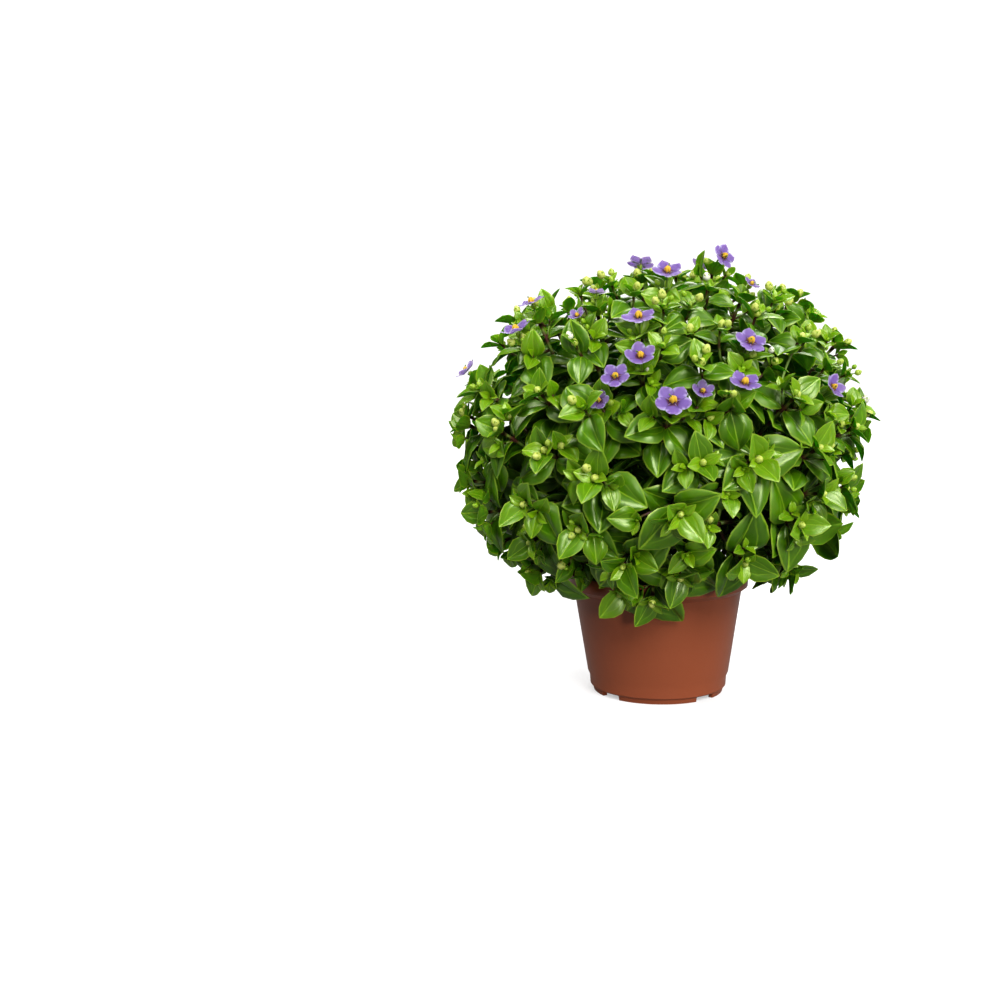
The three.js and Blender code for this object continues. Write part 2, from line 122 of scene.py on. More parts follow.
# %% Draws and directions
up = Vector((0, 0, 1))
full_turn = 2 * math.pi
quarter = full_turn / 4
golden_turn = math.pi * (3 - math.sqrt(5))


def draw(*keys):
    mixed = sum((key + 1) * (12.9898 + 31.416 * place) for place, key in enumerate(keys))
    wave = math.sin(mixed) * 43758.5453
    return wave - math.floor(wave)


def outward(bearing):
    """The level direction at a bearing, which is 0 towards the front."""
    return Vector((math.sin(bearing), -math.cos(bearing), 0))


def sideways(direction, turn):
    """A direction square to the given one, turned about it."""
    upright = abs(direction.z) > 0.999
    first = Vector((1, 0, 0)) if upright else up.cross(direction).normalized()
    return first * math.cos(turn) + direction.cross(first) * math.sin(turn)


print("three draws", [round(draw(key, 1), 3) for key in range(3)])

# %% [markdown]
# ## The crown's plan
# The crown is a soft round envelope. Shoots aim at points spread over it by the golden turn, the angle by
# which many plants set one leaf after the next, so they cover it evenly. Each shoot forks into four twigs.
# We plan the whole plant as plain numbers before making any mesh, because leaves, stems, buds and flowers
# all need to know where the twigs end.

# %% Crown
crown_middle = 165 * millimetre
crown_rise = 107 * millimetre
crown_drop = 99 * millimetre
crown_reach = 124 * millimetre
crown_fullness = 2.3
crown_centre = Vector((0, 0, crown_middle))
pot_height = 80 * millimetre
rim_radius = 60 * millimetre
rim_clearance = 13 * millimetre
growth_uplift = 0.4


def crown_radius(height, grow):
    """How wide the envelope is at a height, when it is grown by a margin."""
    size = crown_rise if height > crown_middle else crown_drop
    share = min(1, abs(height - crown_middle) / (size + grow))
    return (crown_reach + grow) * (1 - share ** crown_fullness) ** (1 / crown_fullness)


def on_crown(point, factor):
    """Moves a point along its arm from the centre until it lies at a multiple of the envelope."""
    arm = point - crown_centre
    level = math.hypot(arm.x, arm.y) / crown_reach
    height = abs(arm.z) / (crown_rise if arm.z > 0 else crown_drop)
    share = (level ** crown_fullness + height ** crown_fullness) ** (1 / crown_fullness)
    return crown_centre + arm * (factor / share)


def aim_at_crown(tilt, bearing):
    """A point near the envelope, at a tilt from the top and a bearing."""
    aim = outward(bearing) * math.sin(tilt) * crown_reach
    aim.z = crown_middle + math.cos(tilt) * crown_rise
    return aim


def clear_of_rim(tip):
    """Pushes a low tip out past the rim of the pot."""
    level = math.hypot(tip.x, tip.y)
    least = rim_radius + rim_clearance if tip.z < pot_height + rim_clearance else level
    push = max(1, least / level)
    return Vector((tip.x * push, tip.y * push, tip.z))


def grow_direction(point):
    """The way a twig grows at a point of the crown: square to the envelope and a little up."""
    arm = point - crown_centre
    size = crown_rise if arm.z > 0 else crown_drop
    lean = Vector((arm.x / crown_reach ** 2, arm.y / crown_reach ** 2, arm.z / size ** 2))
    return (lean.normalized() + up * growth_uplift).normalized()


print("the crown is", round(2000 * crown_radius(crown_middle, 0)), "mm wide")

# %% [markdown]
# ## Shoots and twigs
# A shoot roots in the soil, rises to its fork and sends out four twigs. A SimpleNamespace holds what
# belongs to one shoot or twig under plain names, which reads better than a tuple of numbers.

# %% Plan the shoots
shoot_count = 26
twig_count = 4
stem_radius = 1.5 * millimetre
twig_radius = 1.2 * millimetre
root_depth = 54.3 * millimetre
sprout_height = 76 * millimetre
crown_cover = 1.8
first_bearing = 2.7
fork_share = 0.6


def plan_shoot(index):
    tilt = math.acos(1 - (index + 0.5) * crown_cover / shoot_count)
    bearing = index * golden_turn + first_bearing
    centre = on_crown(aim_at_crown(tilt, bearing), 1)
    root = outward(bearing) * 40 * millimetre * math.sin(min(tilt, quarter)) ** 0.8
    root.z = root_depth
    crown_foot = Vector((root.x, root.y, sprout_height))
    fork = crown_foot.lerp(centre, fork_share)
    fork.z += 30 * millimetre * max(0, 0.2 - math.cos(tilt))
    facing = (centre - crown_centre).normalized()
    turn = full_turn * draw(index, 1)
    shoot = SimpleNamespace(
        index=index, name=f"shoot_{index + 1:02d}", root=root, crown_foot=crown_foot,
        fork=fork, facing=facing, turn=turn, twigs=[],
    )
    for number in range(twig_count):
        reach = centre + sideways(facing, turn + number * quarter) * 26 * millimetre
        tip = clear_of_rim(on_crown(reach, 0.97 + 0.07 * draw(index, 3, number)))
        roll = math.pi * draw(index, 9, number)
        shoot.twigs.append(SimpleNamespace(
            shoot=shoot, number=number, tip=tip, direction=grow_direction(tip), roll=roll, blooms=[],
            lime=0.45 * draw(index, 13, number) ** 2,
        ))
    return shoot


shoots = [plan_shoot(index) for index in range(shoot_count)]
twigs = [twig for shoot in shoots for twig in shoot.twigs]
print(len(shoots), "shoots with", len(twigs), "twigs")

# %% [markdown]
# ## Where the flowers open
# The places of the flowers are the one thing that isn't drawn: they are read off the plant, as bearing,
# height, lean and size, and for some how far they stand off the crown. The nearest twig comes up to carry
# each of them, as it does in the frame. A few more twigs move to where leafy tips stand out.

# %% Plan the flowers
bloom_places = [
    (-54, 255, 22, 0.9), (-48, 237, 24, 1), (-24, 258, -10, 0.6, 7), (-14, 278, -25, 0.9),
    (6, 270, 36, 0.95), (-26, 244, 40, 0.55, 7), (-5, 241, 28, 1), (-4, 219, 46, 0.9, 7),
    (-10, 208, 54, 0.85), (4, 194, 52, 1.05), (-15, 195, 60, 0.65, 1), (12, 199, 50, 0.65, 2),
    (46, 281, 70, 0.85, 16), (140, 283, 25, 0.85, 16), (50, 263, 45, 0.55, 6), (26, 226, 48, 0.95),
    (22, 203, 34, 0.95), (51, 200, 66, 0.8), (94, 250, 40, 0.65, 5), (-85, 215, 45, 0.85),
    (112, 260, 25, 0.9), (-118, 250, 35, 1), (140, 222, 50, 0.85), (-148, 243, 40, 0.95),
    (172, 266, 20, 1), (-172, 208, 55, 0.9),
]
rosette_places = [
    (6, 132, 3), (-16, 79, 3), (44, 121, 3), (26, 161, 3), (46, 165, 3), (88, 255, 4), (84, 226, 4),
    (76, 117, -12),
]
usual_distance = 9
pedicel_length = 9 * millimetre
calyx_height = 3 * millimetre


def off_crown(bearing, height, distance):
    """A place at a bearing in degrees and a height, at a distance off the envelope, both in mm."""
    place = outward(math.radians(bearing)) * crown_radius(height * millimetre, distance * millimetre)
    place.z = height * millimetre
    return place


blooms = []
for index, (bearing, height, lean, size, *distance) in enumerate(bloom_places):
    place = off_crown(bearing, height, distance[0] if distance else usual_distance)
    aside = outward(math.radians(bearing))
    face = up * math.cos(math.radians(lean)) + aside * math.sin(math.radians(lean))
    carrier = min(twigs, key=lambda twig: (twig.tip - place).length + 12 * millimetre * len(twig.blooms))
    if not carrier.blooms:
        stalk = (carrier.direction + face).normalized()
        carrier.tip = place - stalk * (pedicel_length + calyx_height)
    bloom = SimpleNamespace(index=index, place=place, face=face, size=size, twig=carrier)
    carrier.blooms.append(bloom)
    blooms.append(bloom)
bloom_names = [f"bloom_{bloom.index + 1:02d}" for bloom in blooms]

free_twigs = [twig for twig in twigs if not twig.blooms]
for bearing, height, distance in rosette_places:
    place = off_crown(bearing, height, distance)
    nearest = min(free_twigs, key=lambda twig: (twig.tip - place).length)
    nearest.tip = place
    nearest.lime = 0.8 if distance == 3 else 0.4
    free_twigs.remove(nearest)
print(len(blooms), "flowers on", len({id(bloom.twig) for bloom in blooms}), "twigs")

# %% [markdown]
# ## Leaves of the frame
# Leaves stand in pairs, each pair turned a quarter against the last. Where two leaves would touch, the
# frame bends one aside, and this lesson has to find which bend it took. We could repeat the whole test,
# but the frame's mesh already knows: a leaf's tip is one of its corners. A KD tree finds the nearest
# corner to a guessed tip at once, and the guess that hits one is the right bend.

# %% Find the leaves
leaf_spring = 0.12
tip_tolerance = 0.05 * millimetre
pair_plans = [
    SimpleNamespace(length=20, spread=48, sag=0.08, bend=0.1),
    SimpleNamespace(length=30, spread=80, sag=0.3, bend=0.24),
]
leaf_bends = [
    (0, 0, 1), (16, 0, 1), (-16, 0, 1), (0, 18, 1), (0, -16, 1), (26, 12, 1), (-26, 12, 1),
    (0, 34, 0.9), (34, -8, 0.85), (-34, -8, 0.85), (0, 8, 0.72), (30, 26, 0.72), (-30, 26, 0.72),
]


def node_place(twig, pair):
    return twig.tip - twig.direction * (1.6 + 10 * pair) * millimetre


def aim_leaf(seat, direction, azimuth, spread, sag, swing):
    """The way a leaf points from its stem, and the way its upper side looks."""
    out = direction * math.cos(spread) + sideways(direction, azimuth + swing) * math.sin(spread)
    out = (out - up * sag).normalized()
    face = (direction - out * direction.dot(out)).normalized()
    return SimpleNamespace(seat=seat, out=out, face=face)


def leaf_scale(height):
    """Leaves are large low in the crown and smaller higher up."""
    return 1 - 0.24 * min(1, max(0, (height - 100 * millimetre) / (150 * millimetre)))


def ripe_share(height):
    """How near the crown's top a height is, where the plant grows young leaves and buds."""
    return min(1, max(0, (height - 105 * millimetre) / (130 * millimetre)))


def plan_leaf(twig, pair, side, bend):
    swing, lift, shrink = bend
    plan = pair_plans[pair]
    share = 0.88 + 0.26 * draw(twig.shoot.index, twig.number, pair, side)
    play = 14 * (draw(twig.shoot.index, twig.number, side, pair) - 0.5)
    azimuth = twig.roll + quarter * (2 * side + pair)
    seat = node_place(twig, pair) + sideways(twig.direction, azimuth) * 0.7 * twig_radius
    spread = math.radians(plan.spread + play - lift)
    leaf = aim_leaf(seat, twig.direction, azimuth, spread, plan.sag, math.radians(swing))
    leaf.length = plan.length * leaf_scale(twig.tip.z) * share * shrink * millimetre
    leaf.bend = plan.bend
    return leaf


def leaf_tip(leaf):
    return leaf.seat + (leaf.out + leaf.face * (leaf_spring - leaf.bend)) * leaf.length


def corners_of(node):
    vertices = frame["nodes"][node].data.vertices
    tree = KDTree(len(vertices))
    for vertex in vertices:
        tree.insert(vertex.co, vertex.index)
    tree.balance()
    return tree


leaves = []
for shoot in shoots:
    corners = corners_of(shoot.name)
    places = [(twig, pair, side) for twig in shoot.twigs for pair in (0, 1) for side in (0, 1)]
    for twig, pair, side in places:
        guesses = [plan_leaf(twig, pair, side, bend) for bend in leaf_bends]
        misses = [corners.find(leaf_tip(leaf))[2] for leaf in guesses]
        nearest = min(range(len(guesses)), key=lambda guess: misses[guess])
        if misses[nearest] < tip_tolerance:
            leaf = guesses[nearest]
            leaf.shoot = shoot.index
            leaf.small = pair == 0
            ripe = ripe_share(twig.tip.z)
            leaf.young = (0.2 + 0.2 * ripe + 0.4 * twig.lime, 0.3 * twig.lime)[pair]
            leaf.twist = 0.3 * (draw(shoot.index, twig.number, pair, side, 61) - 0.5)
            leaf.shade = 0.5 * draw(shoot.index, twig.number, 62) + 0.5 * draw(len(leaves), 63)
            leaves.append(leaf)
print(len(leaves), "leaves found in the frame")

# %% [markdown]
# ## Leaf forms
# The leaf of this plant is broad, pointed and glossy, folded along its midrib and gently quilted on both
# sides of it. It is repeated hundreds of times, so it gets only a few dozen faces: a flat grid, moved into
# shape by two short formulas and closed at base and tip, with a second sheet under it that it meets along
# the rim. Its UV map keeps the flat grid's coordinates, so that the nerves follow the leaf however it bends.

# %% Leaf forms
young_rows = [0, 0.06, 0.24, 0.48, 0.72, 0.91, 1]
grown_rows = [0, 0.05, 0.18, 0.36, 0.56, 0.76, 0.92, 1]
leaf_thickness = 0.018
seated_share = 0.15


def half_width(share):
    """Half a leaf's width at a share of its length: a full round outline with a short point."""
    return 0.5 * math.sin(math.pi * share ** 0.8) ** 0.75 * (1 - 0.25 * share ** 10)


def is_free(face):
    """Whether a face lies past the part of a leaf that touches its own stem."""
    return min(vertex.co.y for vertex in face.verts) > seated_share


def mesh_from(bm, name):
    """Keeps a bmesh as a mesh and frees it."""
    mesh = bpy.data.meshes.new(name)
    bm.to_mesh(mesh)
    bm.free()
    return mesh


def finish_form(bm, name, thickness):
    """Closes a sheet at its ends and gives it a back, which meets it along the rim."""
    bmesh.ops.remove_doubles(bm, verts=bm.verts, dist=1e-5)
    bm.verts.index_update()
    corners = [vertex.co.copy() for vertex in bm.verts]
    free_faces = [[vertex.index for vertex in face.verts] for face in bm.faces if is_free(face)]
    under = bm.verts.layers.float.new("under")
    for edge in bm.edges:
        edge.smooth = not edge.is_boundary
    copied = bmesh.ops.duplicate(bm, geom=bm.verts[:] + bm.edges[:] + bm.faces[:])["geom"]
    back = [part for part in copied if isinstance(part, bmesh.types.BMFace)]
    bmesh.ops.reverse_faces(bm, faces=back)
    for vertex in {vertex for face in back for vertex in face.verts}:
        vertex[under] = 1.0
        if not vertex.is_boundary:
            vertex.co.z -= thickness
    bmesh.ops.remove_doubles(bm, verts=[vertex for vertex in bm.verts if vertex.is_boundary], dist=1e-5)
    mesh = mesh_from(bm, name)
    for attribute in ("young", "shade"):
        mesh.attributes.new(attribute, "FLOAT", "POINT")
    return SimpleNamespace(mesh=mesh, corners=corners, free_faces=free_faces)


def flat_grid(columns, rows):
    bm = bmesh.new()
    bmesh.ops.create_grid(bm, x_segments=columns, y_segments=len(rows) - 1, size=0.5)
    map_layer = bm.loops.layers.uv.new("UVMap")
    for vertex in bm.verts:
        vertex.co.y = rows[round((vertex.co.y + 0.5) * (len(rows) - 1))]
    for face in bm.faces:
        for loop in face.loops:
            loop[map_layer].uv = (loop.vert.co.x + 0.5, loop.vert.co.y)
    return bm


def make_leaf_forms(name, columns, rows, bend, cup, slenderness, kinds):
    """One form for each kind, which is its own share of bend, its fold and its wave."""
    forms = []
    for more_bend, fold, wave in kinds:
        bm = flat_grid(columns, rows)
        for vertex in bm.verts:
            side = 2 * vertex.co.x
            share = vertex.co.y
            half = side * half_width(share) * slenderness
            quilt = cup * half_width(share) * (1 - (2 * abs(side) - 1) ** 2)
            ripple = wave * side * abs(side) * math.sin(7 * share) * half_width(share)
            lift = leaf_spring * share - (bend + more_bend) * share ** 2 + fold * abs(half)
            vertex.co = (half, share, lift + quilt + ripple)
        forms.append(finish_form(bm, f"{name}_{len(forms)}", leaf_thickness))
    return forms


bract_forms = make_leaf_forms("bract", 4, young_rows, 0.12, 0.14, 0.62, [
    (0, 0.50, 0.04), (0.10, 0.34, -0.05), (-0.08, 0.66, 0.06),
])
young_forms = make_leaf_forms("young_leaf", 4, young_rows, 0.12, 0.16, 0.74, [
    (0, 0.34, 0.05), (0.06, 0.24, -0.06), (-0.04, 0.50, 0.07),
])
grown_forms = make_leaf_forms("grown_leaf", 6, grown_rows, 0.24, 0.24, 0.84, [
    (0, 0.22, 0.08), (0.06, 0.34, -0.1), (-0.05, 0.14, 0.1), (0.02, 0.42, -0.06),
])
print("a grown leaf has", len(grown_forms[0].mesh.polygons), "faces")

# %% [markdown]
# ## Clear places for more leaves
# The frame holds the main leaves, and the crown has about five times as many: small bracts round the
# buds, young side tufts, and old leaves deeper in. Each new leaf tries a few bends and takes the first one
# that touches nothing. A BVH tree answers whether two sheets cross, and boxes sort out the far ones first.

# %% Clearance test
standing = []


def boxed(corners):
    low = [min(corner[axis] for corner in corners) for axis in range(3)]
    high = [max(corner[axis] for corner in corners) for axis in range(3)]
    return low, high


def stand(owner, corners, faces):
    low, high = boxed(corners)
    standing.append((owner, low, high, BVHTree.FromPolygons(corners, faces)))


def is_clear(owner, corners, faces):
    """Whether faces cross nothing that stands, apart from what has the given owner."""
    low, high = boxed(corners)
    tree = None
    for other, other_low, other_high, other_tree in standing:
        apart = any(other_high[axis] < low[axis] or other_low[axis] > high[axis] for axis in range(3))
        if apart or other == owner:
            continue
        tree = tree or BVHTree.FromPolygons(corners, faces)
        if tree.overlap(other_tree):
            return False
    return True


for name, node in frame["nodes"].items():
    corners = [vertex.co.copy() for vertex in node.data.vertices]
    stand(name, corners, [list(face.vertices) for face in node.data.polygons])
print(len(standing), "solids to keep clear of")

# %% [markdown]
# ## More leaves
# A leaf's matrix has its three directions as columns and its length as scale, so the same form serves
# every leaf. The test leaves out the first part of a leaf, which has to touch its own stem.

# %% Try and keep leaves
bract_length = 12 * millimetre
young_length = 17 * millimetre
more_bends = [
    (0, 0, 1), (14, 0, 1), (-14, 0, 1), (0, 22, 1), (0, -22, 0.95), (30, 14, 0.9), (-30, 14, 0.9),
    (0, 40, 0.85), (0, 6, 0.7),
]


def leaf_matrix(leaf):
    across = leaf.out.cross(leaf.face)
    turn = Matrix((across, leaf.out, leaf.face)).transposed().to_4x4()
    twist = Matrix.Rotation(leaf.twist, 4, "Y")
    return Matrix.Translation(leaf.seat) @ turn @ twist @ Matrix.Scale(leaf.length, 4)


def choose_form(leaf, key):
    forms = young_forms if leaf.small else grown_forms
    if leaf.length < bract_length:
        forms = bract_forms
    return forms[int(len(forms) * draw(key, 23))]


def settle(options, shoot, young, key, owner):
    """Keeps the first of the options that is clear, as one more leaf of the shoot."""
    for leaf in options:
        leaf.young = young + 0.2 * ripe_share(leaf.seat.z) * (young > 0.3)
        leaf.shoot = shoot.index
        leaf.small = leaf.length < young_length
        leaf.twist = 0.7 * (draw(key, 61) - 0.5)
        leaf.shade = 0.4 * draw(shoot.index, 62) + 0.6 * draw(key, 63)
        leaf.form = choose_form(leaf, key)
        matrix = leaf_matrix(leaf)
        corners = [matrix @ corner for corner in leaf.form.corners]
        if is_clear(owner, corners, leaf.form.free_faces):
            leaves.append(leaf)
            stand("leaf", corners, leaf.form.free_faces)
            return leaf
    return None


def pair_of_leaves(shoot, place, direction, roll, length, spread, sag, young, key, radius, owner=None):
    """Two leaves on opposite sides of a stem, each with its own draw of length and spread."""
    made = []
    for side in (0, 1):
        azimuth = roll + math.pi * side
        size = length * (0.86 + 0.28 * draw(key, side, 41))
        seat = place + sideways(direction, azimuth) * 0.7 * radius
        options = []
        for swing, lift, shrink in more_bends:
            angle = math.radians(spread - lift + 12 * (draw(key, side, 43) - 0.5))
            leaf = aim_leaf(seat, direction, azimuth, angle, sag, math.radians(swing))
            leaf.length = size * shrink
            options.append(leaf)
        made.append(settle(options, shoot, young, key + side, owner))
    return made


for key, leaf in enumerate(leaves):
    leaf.form = choose_form(leaf, key)
print(len(more_bends), "ways for a new leaf to lie")

# %% [markdown]
# ## Routes of stems
# A stem is a smooth curve through its fork, and so is each twig. A quadratic Bezier curve needs only a
# start, an end and one point that pulls it, and the point where a leaf pair sits is a share along it.

# %% Routes
stem_nodes = (12, 26, 40, 54)
twig_nodes = (11, 23, 36)


def bezier(start, pull, end, share):
    return start.lerp(pull, share).lerp(pull.lerp(end, share), share)


def route_between(start, pull, end, steps):
    return [bezier(start, pull, end, step / steps) for step in range(steps + 1)]


def stem_route(shoot, steps=10):
    pull = shoot.crown_foot.copy()
    pull.z += 0.6 * (shoot.fork.z - shoot.crown_foot.z) + 5 * millimetre
    return route_between(shoot.crown_foot, pull, shoot.fork, steps)


def twig_route(twig, steps=10):
    shoot = twig.shoot
    start = shoot.fork + sideways(shoot.facing, shoot.turn + twig.number * quarter) * 0.5 * stem_radius
    end = node_place(twig, 1) - twig.direction * 1.2 * millimetre
    pull = end - twig.direction * 0.5 * (end - start).length
    return route_between(start, pull, end, steps)


def from_end(route, distance):
    """The place and direction on a route, at a distance back from its end, or None if it is shorter."""
    for before, after in zip(reversed(route[:-1]), reversed(route[1:])):
        step = (after - before).length
        if distance <= step:
            return after.lerp(before, distance / step), (after - before).normalized()
        distance -= step
    return None


def spots_from_end(route, distances):
    """Those places and directions, at distances in mm, that a route is long enough for."""
    spots = [from_end(route, distance * millimetre) for distance in distances]
    return [spot for spot in spots if spot]


example = twig_route(twigs[0])
steps = [(after - before).length for before, after in zip(example, example[1:])]
print("a twig is about", round(1000 * sum(steps)), "mm long")

# %% [markdown]
# ## Side twigs
# The frame's twigs leave hollows between their tips, which a real crown fills with side twigs. Some of
# their places are read off the plant, as with the flowers. The rest come from the golden turn again: we
# walk over the crown and keep each place that has room. Every side twig leaves the nearest twig that it can
# reach without crossing a leaf. Its draws need keys of their own, so each kind of growth counts its keys on
# from a number of its own.

# %% Side twigs
side_places = [
    (10, 233), (20, 235), (2, 224), (12, 214), (20, 191), (48, 228), (35, 242), (-37, 260), (-25, 266),
    (-24, 227), (-9, 257), (54, 253), (79, 243), (96, 246), (-40, 87, -6), (-18, 191, 7), (17, 197, 7),
]
side_distance = 4
room = 21 * millimetre
nearest_start = 13 * millimetre
farthest_start = 48 * millimetre
most_tries = 14
trial_count = 340
trial_cover = 1.72
placed_keys = 7000
trial_keys = 8000
tips = [twig.tip for twig in twigs]
side_twigs = []
twig_routes = [(twig, twig_route(twig)) for twig in twigs]


def is_way_free(start, end, owner):
    """Tests a thin prism from start to end."""
    ahead = (end - start).normalized()
    sides = [sideways(ahead, full_turn * side / 3) * 1.1 * millimetre for side in range(3)]
    corners = [start + ahead * 3 * millimetre + side for side in sides] + [end + side for side in sides]
    faces = [(side, (side + 1) % 3, (side + 1) % 3 + 3, side + 3) for side in range(3)]
    return is_clear(owner, corners, faces)


def grow_side_twig(place, key):
    starts = []
    for twig, route in twig_routes:
        for spot in route[3:10]:
            reach = (spot - place).length
            if nearest_start < reach < farthest_start:
                starts.append((reach, len(starts), twig, spot))
    direction = grow_direction(place)
    for reach, _, twig, spot in sorted(starts)[:most_tries]:
        pull = place - direction * 0.5 * reach
        if is_way_free(spot, pull, twig.shoot.name) and is_way_free(pull, place, twig.shoot.name):
            side_twigs.append(SimpleNamespace(
                shoot=twig.shoot, route=route_between(spot, pull, place, 6), tip=place,
                direction=direction, roll=math.pi * draw(key, 3), key=key, lime=0.6 * draw(key, 4),
            ))
            tips.append(place)
            return


for number, (bearing, height, *distance) in enumerate(side_places):
    place = off_crown(bearing, height, distance[0] if distance else side_distance)
    grow_side_twig(place, placed_keys + 20 * number)
for number in range(trial_count):
    tilt = math.acos(1 - (number + 0.5) * trial_cover / trial_count)
    place = on_crown(aim_at_crown(tilt, number * golden_turn), 0.95 + 0.07 * draw(number, 15))
    has_room = all((tip - place).length > room for tip in tips)
    if has_room and place.z > pot_height + rim_clearance:
        grow_side_twig(place, trial_keys + 20 * number)
print(len(side_twigs), "side twigs")

# %% [markdown]
# ## Tufts, bracts and old leaves
# A side twig carries three pairs of leaves. Where a grown leaf meets its twig, a small tuft starts with
# leaves of its own. That is what makes the crown so dense, so each twig gets two such tufts, a pair of
# bracts at its tip and older pairs lower down. The order counts: what grows first takes the best places.

# %% Grow the rest of the leaves
old_leaf_length = 30 * millimetre
twig_keys = 100
stem_keys = 9000
tufts = []

for twig in side_twigs:
    scale = leaf_scale(twig.tip.z) * (0.85 + 0.3 * draw(twig.key, 5))
    for distance, length, spread, sag, young in (
        (9.5, 24, 78, 0.28, 0.25 * twig.lime), (2.2, 17, 54, 0.1, 0.31 + 0.4 * twig.lime),
        (0.2, 10, 46, 0, 0.7 + 0.3 * twig.lime),
    ):
        place, direction = from_end(twig.route, distance * millimetre)
        pair_of_leaves(
            twig.shoot, place, direction, twig.roll + quarter * (distance == 2.2),
            length * scale * millimetre, spread, sag, young, twig.key + round(distance), twig_radius * 0.7,
        )


def grow_tuft(shoot, start, direction, roll, length, key):
    """A short side shoot with a young pair, a smaller pair across it, and a bud later."""
    end = start + direction * length
    big = (11 + 6 * draw(key, 51)) * millimetre
    made = pair_of_leaves(shoot, end, direction, roll, big, 58, 0.12, 0.45, key, twig_radius * 0.6)
    if not any(made):
        return
    inner = end + direction * 1.6 * millimetre
    small = 0.62 * big
    pair_of_leaves(shoot, inner, direction, roll + quarter, small, 40, 0, 0.85, key + 2, twig_radius * 0.4)
    tufts.append(SimpleNamespace(shoot=shoot, start=start, end=inner, direction=direction, key=key))


for twig in twigs:
    key = twig_keys + 40 * (twig.shoot.index * twig_count + twig.number)
    shoot = twig.shoot
    at_tip = twig.tip - twig.direction * 0.2 * millimetre
    bract = (9 + 4 * draw(key, 5)) * millimetre
    pair_of_leaves(
        shoot, at_tip, twig.direction, twig.roll + quarter, bract, 52, 0, 0.7 + 0.3 * twig.lime, key,
        twig_radius, shoot.name,
    )
    for side in (0, 1):
        azimuth = twig.roll + quarter * (2 * side + 1)
        aside = sideways(twig.direction, azimuth + 0.5 * (draw(key, side, 7) - 0.5))
        direction = (twig.direction * 0.9 + aside * 0.75).normalized()
        start = node_place(twig, 1) + aside * 0.8 * millimetre
        length = (7 + 6 * draw(key, side, 8)) * millimetre
        grow_tuft(shoot, start, direction, twig.roll + 0.4 * side, length, key + 4 + 4 * side)
    for number, (place, direction) in enumerate(spots_from_end(twig_route(twig), twig_nodes)):
        pair_of_leaves(
            shoot, place, direction, twig.roll + quarter * number, leaf_scale(place.z) * old_leaf_length,
            84, 0.3, 0.0, key + 14 + 3 * number, twig_radius,
        )

for shoot in shoots:
    for number, (place, direction) in enumerate(spots_from_end(stem_route(shoot), stem_nodes)):
        if place.z < pot_height + 4 * millimetre:
            break
        pair_of_leaves(
            shoot, place, direction, shoot.turn + quarter * number, leaf_scale(place.z) * old_leaf_length,
            78, 0.25, 0.0, stem_keys + 40 * shoot.index + 3 * number, stem_radius,
        )
print(len(leaves), "leaves in all, and", len(tufts), "tufts")

# %% [markdown]
# ## Leaves as meshes
# One piece holds all the leaves of one shoot, because they grow as one and lie on one stem. Each leaf is a
# copy of its form, turned a little about its midrib, with two numbers of its own: how young it is and a
# shade. The material reads them as attributes, so one material serves every leaf.

# %% Make the leaves
shoot_names = [shoot.name for shoot in shoots]


def make_piece(bm, name, slot, nodes=(), smooth=True):
    """Ends a bmesh as a piece that rides on the part, and replaces nodes of the frame if any are given."""
    for face in bm.faces:
        face.smooth = smooth
    piece = add_object(name, mesh_from(bm, name))
    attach(piece, "root")
    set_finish(piece, slot)
    if nodes:
        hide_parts(*nodes)
    return piece


def add_copy(bm, form, matrix, **numbers):
    """Adds a copy of a form, with a number of its own for each attribute that is named."""
    mesh = form.mesh.copy()
    mesh.transform(matrix)
    for name, number in numbers.items():
        mesh.attributes[name].data.foreach_set("value", [number] * len(mesh.vertices))
    bm.from_mesh(mesh)
    bpy.data.meshes.remove(mesh)


def make_copies(name, slot, nodes, copies):
    """One piece of many copies, each given as its form, matrix, youth and shade."""
    bm = bmesh.new()
    for form, matrix, young, shade in copies:
        add_copy(bm, form, matrix, young=young, shade=shade)
    return make_piece(bm, name, slot, nodes)


face_count = 0
for shoot in shoots:
    own = [leaf for leaf in leaves if leaf.shoot == shoot.index]
    copies = [(leaf.form, leaf_matrix(leaf), leaf.young, leaf.shade) for leaf in own]
    piece = make_copies(shoot.name.replace("shoot", "leaves"), "leaf", [shoot.name], copies)
    face_count += len(piece.data.polygons)
print(face_count, "faces in", len(shoots), "pieces of leaves")

# %% [markdown]
# ## Stems
# A stem could be a curve with a round bevel, but rings that we place ourselves can swell at the nodes and
# carry a number for their colour: these stems are green between the leaf pairs and maroon at them. Each
# ring is a circle square to the route, and bridge_loops spans the skin from one ring to the next.

# %% Tubes
swell_reach = 3.5 * millimetre
maroon_reach = 7 * millimetre
pedicel_radius = 0.6 * millimetre


def make_tube(bm, places, radii, ripeness, sides=6):
    """A closed tube through the places, with a radius and a ripeness for each of them."""
    ripe = bm.verts.layers.float.get("ripe") or bm.verts.layers.float.new("ripe")
    before = None
    last = len(places) - 1
    for step, place in enumerate(places):
        direction = (places[min(step + 1, last)] - places[max(step - 1, 0)]).normalized()
        turn = direction.to_track_quat("Z", "Y").to_matrix().to_4x4()
        ring = bmesh.ops.create_circle(
            bm, cap_ends=step in (0, last), segments=sides, radius=radii[step],
            matrix=Matrix.Translation(place) @ turn,
        )["verts"]
        for vertex in ring:
            vertex[ripe] = ripeness[step]
        edges = [bm.edges.get(pair) for pair in zip(ring, ring[1:] + ring[:1])]
        if before:
            bmesh.ops.bridge_loops(bm, edges=before + edges)
        before = edges


